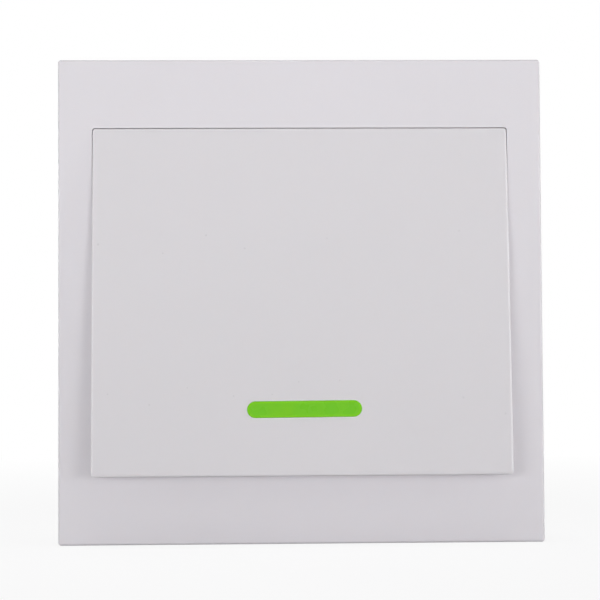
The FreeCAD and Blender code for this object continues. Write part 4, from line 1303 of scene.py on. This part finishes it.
def build_spring(name, side):
    """A coil of round wire from the floor of its well to its seat on the key."""
    centres = []
    for turn, height in coil_steps(spring_length - spring_wire):
        angle = 2 * pi * turn
        outward = Vector((cos(angle), 0.0, sin(angle)))
        axis_point = Vector((side * spring_x, spring_high.y - spring_wire / 2 - height, spring_z))
        centres.append((axis_point + outward * (spring_radius - spring_wire / 2), outward))
    rings = []
    last = len(centres) - 1
    for index, (centre, outward) in enumerate(centres):
        along = centres[min(index + 1, last)][0] - centres[max(index - 1, 0)][0]
        across = along.normalized().cross(outward)
        rings.append(
            [centre + (outward * x + across * y) * spring_wire / 2 for x, y in round_the_circle(WIRE_SIDES)]
        )
    return smooth_shading(skin_object(rings, name, spring_steel))


seat_travel = (hinge_z - spring_z + spring_radius) * sin(key_travel)
for side, name in ((-1, "left"), (1, "right")):
    spring = build_spring(name + "_return_coil", side)
    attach(spring, "housing")
    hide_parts("return_spring_" + name)
    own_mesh(spring)
    print(name, "spring:", round(spring_length / MM, 2), "mm long, shortens by", round(seat_travel / MM, 2),
          "mm,", loose_edges(spring), "loose edges")

# %% Press the snap dome
DOME_ROWS = 8
DOME_SPOKES = 48
dome_low, dome_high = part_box("tact_dome")
dome_thick = 0.12 * MM
dome_radius = (dome_high.x - dome_low.x) / 2
dome_rise = dome_high.y - dome_low.y


def dome_profile():
    """The dome's section as (radius, y), from the middle of its hollow side round to the top."""
    crown_ball = (dome_radius ** 2 + dome_rise ** 2) / (2 * dome_rise)
    hollow_ball = crown_ball - dome_thick
    hollow_radius = sqrt(hollow_ball ** 2 - (crown_ball - dome_rise) ** 2)

    def on_ball(radius, ball):
        """The point this far from the axis on a ball about the dome's middle."""
        return radius, dome_low.y + crown_ball - sqrt(ball ** 2 - radius ** 2)

    shares = [row / DOME_ROWS for row in range(1, DOME_ROWS + 1)]
    hollow = [on_ball(hollow_radius * share, hollow_ball) for share in shares]
    crown = [on_ball(dome_radius * share, crown_ball) for share in reversed(shares)]
    return hollow + crown


def build_dome():
    """A closed skin of rings about the push switch's axis."""
    circle = round_the_circle(DOME_SPOKES)
    rings = [[(radius * x, y, post_z + radius * z) for x, z in circle] for radius, y in dome_profile()]
    return smooth_shading(skin_object(rings, "snap_dome", spring_steel))


snap_dome = build_dome()
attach(snap_dome, "housing")
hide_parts("tact_dome")
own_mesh(snap_dome)
print("snap dome:", round(dome_rise / MM, 2), "mm high,", loose_edges(snap_dome), "loose edges")

# %% [markdown]
# ## The foam strips
# Each strip is cut from tape, so its outline is crisp but its sides bulge a little where the foam
# recovers from the knife. The bulge is a flat arch, small enough to shape directly, with no cloth
# simulation. The liner on the outer face is split across, so that it can be peeled.

# %% Build the foam strips and their liners
liner_thick = 0.08 * MM
liner_split = 0.25 * MM
foam_corner = 1.0 * MM
foam_bulge = 0.10 * MM
liner_edge = 0.02 * MM
liner_back = pads_high.y - liner_thick
FOAM_STEPS = 8
pad_half_length = pads_high.x
pad_width = 14.0 * MM
pad_middle = pads_high.z - pad_width / 2


def strip_rings(left, right, middle, rows):
    """Outlines of a strip: each row is (inset, y)."""
    low, high = middle - pad_width / 2, middle + pad_width / 2
    rings = []
    for inset, y in rows:
        flat = rounded_outline(left + inset, right - inset, low + inset, high - inset, foam_corner - inset)
        rings.append(at_depth(flat, y))
    return rings


def on_both_pads(spans, rows):
    """The strips of both pads, each pad cut into these spans along X."""
    strips = []
    for side in SIDES:
        for left, right in spans:
            strips.append(strip_rings(left, right, side * pad_middle, rows))
    return strips


def build_strips(name, material, strips):
    """One object of several strips, each a row of outlines."""
    mesh = bmesh.new()
    for outlines in strips:
        add_skin(mesh, outlines)
    return smooth_shading(finished_object(mesh, name, material), sharpest=60)


def foam_rows():
    """How far each outline of the foam is inset, and its depth, from the base to the liner."""
    rows = []
    for step in range(FOAM_STEPS + 1):
        share = step / FOAM_STEPS
        bulge = foam_bulge * (1 - (2 * share - 1) ** 2)
        rows.append((foam_bulge - bulge, pads_low.y + (liner_back - pads_low.y) * share))
    return rows


whole = [(-pad_half_length, pad_half_length)]
foam_strips = build_strips("foam_strips", foam_tape, on_both_pads(whole, foam_rows()))
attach(foam_strips, "housing")
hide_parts("foam_pads")

split = [(-pad_half_length, -liner_split), (liner_split, pad_half_length)]
liner_rows = [(liner_edge, liner_back), (0.0, pads_high.y - liner_thick / 2), (liner_edge, pads_high.y)]
tape_liners = build_strips("tape_liners", liner_paper, on_both_pads(split, liner_rows))
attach(tape_liners, "housing")
print("foam strips:", loose_edges(foam_strips), "loose edges; liners:", loose_edges(tape_liners))

# %% [markdown]
# ## Finishes for the pieces inside
# The pieces behind the plate keep their CAD shapes and take a finish each. A real edge is never
# perfectly sharp, so boxy pieces also get a bevel, a few hundredths of a millimetre on the smallest and
# a quarter of one on the battery's can. Their triangles are welded and their flat faces joined first.

# %% Which finish each piece takes
INSIDE = {
    "wall_base": base_plastic,
    "carrier": chassis_plastic,
    "carrier_screws": zinc_screw,
    "board_screws": zinc_screw,
    "circuit_board": board_laminate,
    "solder_joints": solder,
    "tact_body": black_plastic,
    "tact_cover": tinned_sheet,
    "tact_plunger": black_plastic,
    "tact_terminals": tinned_sheet,
    "lamp_body": lamp_resin,
    "lamp_leads": tinned_sheet,
    "resonator_can": plated_can,
    "resonator_pins": tinned_sheet,
    "antenna": copper_wire,
    "tank_coil": copper_wire,
    "encoder_chip": chip_resin,
    "encoder_leads": tinned_sheet,
    "radio_transistor": chip_resin,
    "transistor_leads": tinned_sheet,
    "chip_resistors": resistor_ceramic,
    "resistor_ends": solder,
    "chip_capacitors": capacitor_ceramic,
    "capacitor_ends": solder,
    "supply_capacitor": tantalum_resin,
    "supply_capacitor_ends": solder,
    "supply_diode": chip_resin,
    "diode_ends": solder,
    "battery_can": plated_can,
    "battery_sleeve": battery_wrap,
    "battery_cap": plated_can,
    "positive_contact": contact_nickel,
    "negative_contact": contact_nickel,
    "contact_spring": contact_nickel,
}

SOFT_EDGES_MM = {
    0.04: ("encoder_leads", "transistor_leads"),
    0.05: ("tact_terminals", "lamp_leads"),
    0.06: (
        "chip_resistors", "resistor_ends", "supply_capacitor_ends", "diode_ends", "tact_cover",
        "radio_transistor",
    ),
    0.08: ("chip_capacitors", "capacitor_ends", "encoder_chip", "positive_contact", "negative_contact"),
    0.10: ("tact_plunger",),
    0.12: ("supply_diode",),
    0.15: ("supply_capacitor", "tact_body"),
    0.20: ("battery_cap",),
    0.25: ("battery_can",),
}


def soften(piece, width, weld_reach=0.001 * MM, nearly_flat=1.0, sharp=40.0):
    """Round a CAD piece's sharp edges a little; the two angles are in degrees."""
    weld = piece.modifiers.new("weld triangles", "WELD")
    weld.merge_threshold = weld_reach
    flat = piece.modifiers.new("join flat faces", "DECIMATE")
    flat.decimate_type = "DISSOLVE"
    flat.angle_limit = radians(nearly_flat)
    bevel = piece.modifiers.new("soft edges", "BEVEL")
    bevel.width = width
    bevel.segments = 2
    bevel.limit_method = "ANGLE"
    bevel.angle_limit = radians(sharp)
    bevel.use_clamp_overlap = True
    bevel.harden_normals = True


for name, material in INSIDE.items():
    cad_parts[name].material_slots[0].material = material
for width, names in SOFT_EDGES_MM.items():
    for name in names:
        soften(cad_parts[name], width * MM)
softened = sum(len(names) for names in SOFT_EDGES_MM.values())
print("pieces inside with a finish:", len(INSIDE), "of which softened:", softened)

# %% [markdown]
# ## The floor and the white surroundings
# The photograph shows the switch on plain white. The world and the floor look white to the camera and
# in reflections, but give only a gentle even light, so the white comes from no extra light on the
# switch. The floor mixes that white with a matt surface, which keeps a soft shadow under the plate.

# %% World and floor
WHITE = (1.0, 1.0, 1.0, 1.0)
COOL_WHITE = (0.98, 0.98, 1.0, 1.0)
FLOOR_PALE = (0.90, 0.90, 0.91, 1.0)
FLOOR_DARKER = (0.88, 0.88, 0.89, 1.0)


def sees_white(tree):
    """1 for rays from the camera, and for those that a gloss or clear surface sends on."""
    path = add_node(tree, "ShaderNodeLightPath").outputs
    seen = math_node(tree, "MAXIMUM", path["Is Camera Ray"], path["Is Glossy Ray"])
    return math_node(tree, "MAXIMUM", seen, path["Is Transmission Ray"])


def white_world(ambient):
    """A world that looks white and lights gently."""
    world = bpy.data.worlds.new("white_surroundings")
    bpy.context.scene.world = world
    world.use_nodes = True
    tree = world.node_tree
    tree.nodes.clear()
    gentle = add_node(tree, "ShaderNodeBackground", {"Color": COOL_WHITE, "Strength": ambient})
    white = add_node(tree, "ShaderNodeBackground", {"Color": WHITE, "Strength": 1.0})
    inputs = {0: sees_white(tree), 1: gentle.outputs[0], 2: white.outputs[0]}
    chosen = add_node(tree, "ShaderNodeMixShader", inputs)
    add_node(tree, "ShaderNodeOutputWorld", {"Surface": chosen.outputs[0]})


def floor_finish(near_share, near_reach, far_reach):
    """A matt pale floor that shows a soft shadow near the switch and melts into the white further off."""
    material = bpy.data.materials.new("pale_floor")
    material.use_nodes = True
    tree = material.node_tree
    tree.nodes.clear()
    place = add_node(tree, "ShaderNodeTexCoord").outputs["Object"]
    cloud = add_node(tree, "ShaderNodeTexNoise", {"Vector": place, "Scale": 6.0, "Detail": 2.0})
    tones = {"Factor": cloud.outputs["Fac"], "A": FLOOR_PALE, "B": FLOOR_DARKER}
    tint = add_node(tree, "ShaderNodeMix", tones, data_type="RGBA")
    matt = add_node(tree, "ShaderNodeBsdfDiffuse", {"Color": tint.outputs["Result"]})
    glow = add_node(tree, "ShaderNodeEmission", {"Color": WHITE, "Strength": 1.0})
    distance = add_node(tree, "ShaderNodeVectorMath", {0: place}, operation="LENGTH").outputs["Value"]
    beyond = ramp_between(tree, distance, near_reach, far_reach)
    white_share = math_node(tree, "MULTIPLY_ADD", beyond, 1.0 - near_share, near_share)
    share = math_node(tree, "MULTIPLY", sees_white(tree), white_share)
    mix = add_node(tree, "ShaderNodeMixShader", {0: share, 1: matt.outputs[0], 2: glow.outputs[0]})
    add_node(tree, "ShaderNodeOutputMaterial", {"Surface": mix.outputs[0]})
    return material


def build_floor(half, drop):
    """A flat square floor just under the plate."""
    mesh = bmesh.new()
    level = plate_low.z - drop
    corners = ((-half, -half), (half, -half), (half, half), (-half, half))
    mesh.faces.new(ring_of(mesh, [(x, y, level) for x, y in corners]))
    return finished_object(mesh, "floor", floor_finish(near_share=0.84, near_reach=0.06, far_reach=0.40))


white_world(ambient=0.459)
floor = build_floor(half=2.0, drop=0.02 * MM)

# %% [markdown]
# ## Lamps
# The photograph shows soft shadows on both sides of the key, deeper on the left, and a plate that is a
# little lighter at the top. So large soft lamps stand in front, right and left, a little above the
# middle, and two of them have narrow beams that aim higher. A lamp at each side grazes the edges, a
# small one lights the top, and one behind serves the views from the back.

# %% Lamps
def soft_lamp(name, place, size, power, aim_height=0.0, spread=180.0):
    """A rectangular area lamp that looks at the switch, with a beam of this spread in degrees."""
    data = bpy.data.lights.new(name, "AREA")
    data.shape = "RECTANGLE"
    data.size, data.size_y = size
    data.energy = power
    data.spread = radians(spread)
    lamp = bpy.data.objects.new(name, data)
    lamp.location = place
    target = Vector((0.0, plate_front, aim_height))
    lamp.rotation_euler = (target - Vector(place)).to_track_quat("-Z", "Y").to_euler()
    lamp.visible_camera = False
    bpy.context.scene.collection.objects.link(lamp)
    return lamp


broad = (0.30, 0.12)
tall = (0.10, 0.30)
left_place = (-0.28, -0.45, 0.02)
lamps = [
    soft_lamp("right_lamp", (0.30, -0.45, 0.02), broad, power=0.068, aim_height=0.055, spread=44.0),
    soft_lamp("left_lamp", left_place, broad, power=0.413),
    soft_lamp("left_upper_lamp", left_place, broad, power=0.034, aim_height=0.10, spread=40.0),
    soft_lamp("right_side_lamp", (0.50, -0.10, 0.03), tall, power=0.90),
    soft_lamp("left_side_lamp", (-0.50, -0.10, 0.03), tall, power=0.35),
    soft_lamp("back_lamp", (-0.35, 0.60, 0.05), (0.40, 0.16), power=2.2),
    soft_lamp("top_lamp", (0.0, -0.02, 0.60), (0.10, 0.10), power=0.012, spread=20.0),
]
print("lamps:", len(lamps))

# %% [markdown]
# ## Camera
# The camera's place was worked out from the corners of the plate and of the key in the photograph. It
# looks at the middle of the plate's face from a little to the left and a little below, with a long
# lens, so the plate's sides stay almost parallel.

# %% Camera
aim = Vector((-0.19, -13.0, 0.08)) * MM
camera_distance = 337.13 * MM
camera_turn = radians(1.74)
camera_rise = radians(2.47)
camera_roll = radians(-0.35)
lens_focal_mm = 114.0
nearest_seen = 10.0 * MM


def place_camera():
    """Aim a camera by its turn from +Y, its upward tilt and its roll."""
    level = cos(camera_rise)
    forward = Vector((sin(camera_turn) * level, cos(camera_turn) * level, sin(camera_rise)))
    level_right = forward.cross(Vector((0, 0, 1))).normalized()
    level_up = level_right.cross(forward)
    right = level_right * cos(camera_roll) + level_up * sin(camera_roll)
    up = right.cross(forward)
    data = bpy.data.cameras.new("photo_camera")
    data.lens = lens_focal_mm
    data.clip_start = nearest_seen
    camera = bpy.data.objects.new("photo_camera", data)
    turn = Matrix((right, up, -forward)).transposed().to_4x4()
    camera.matrix_world = Matrix.Translation(aim - forward * camera_distance) @ turn
    bpy.context.scene.collection.objects.link(camera)
    bpy.context.scene.camera = camera
    return camera


camera = place_camera()
bpy.context.scene.view_settings.view_transform = "Standard"
print("camera at", in_mm(camera.location), "mm")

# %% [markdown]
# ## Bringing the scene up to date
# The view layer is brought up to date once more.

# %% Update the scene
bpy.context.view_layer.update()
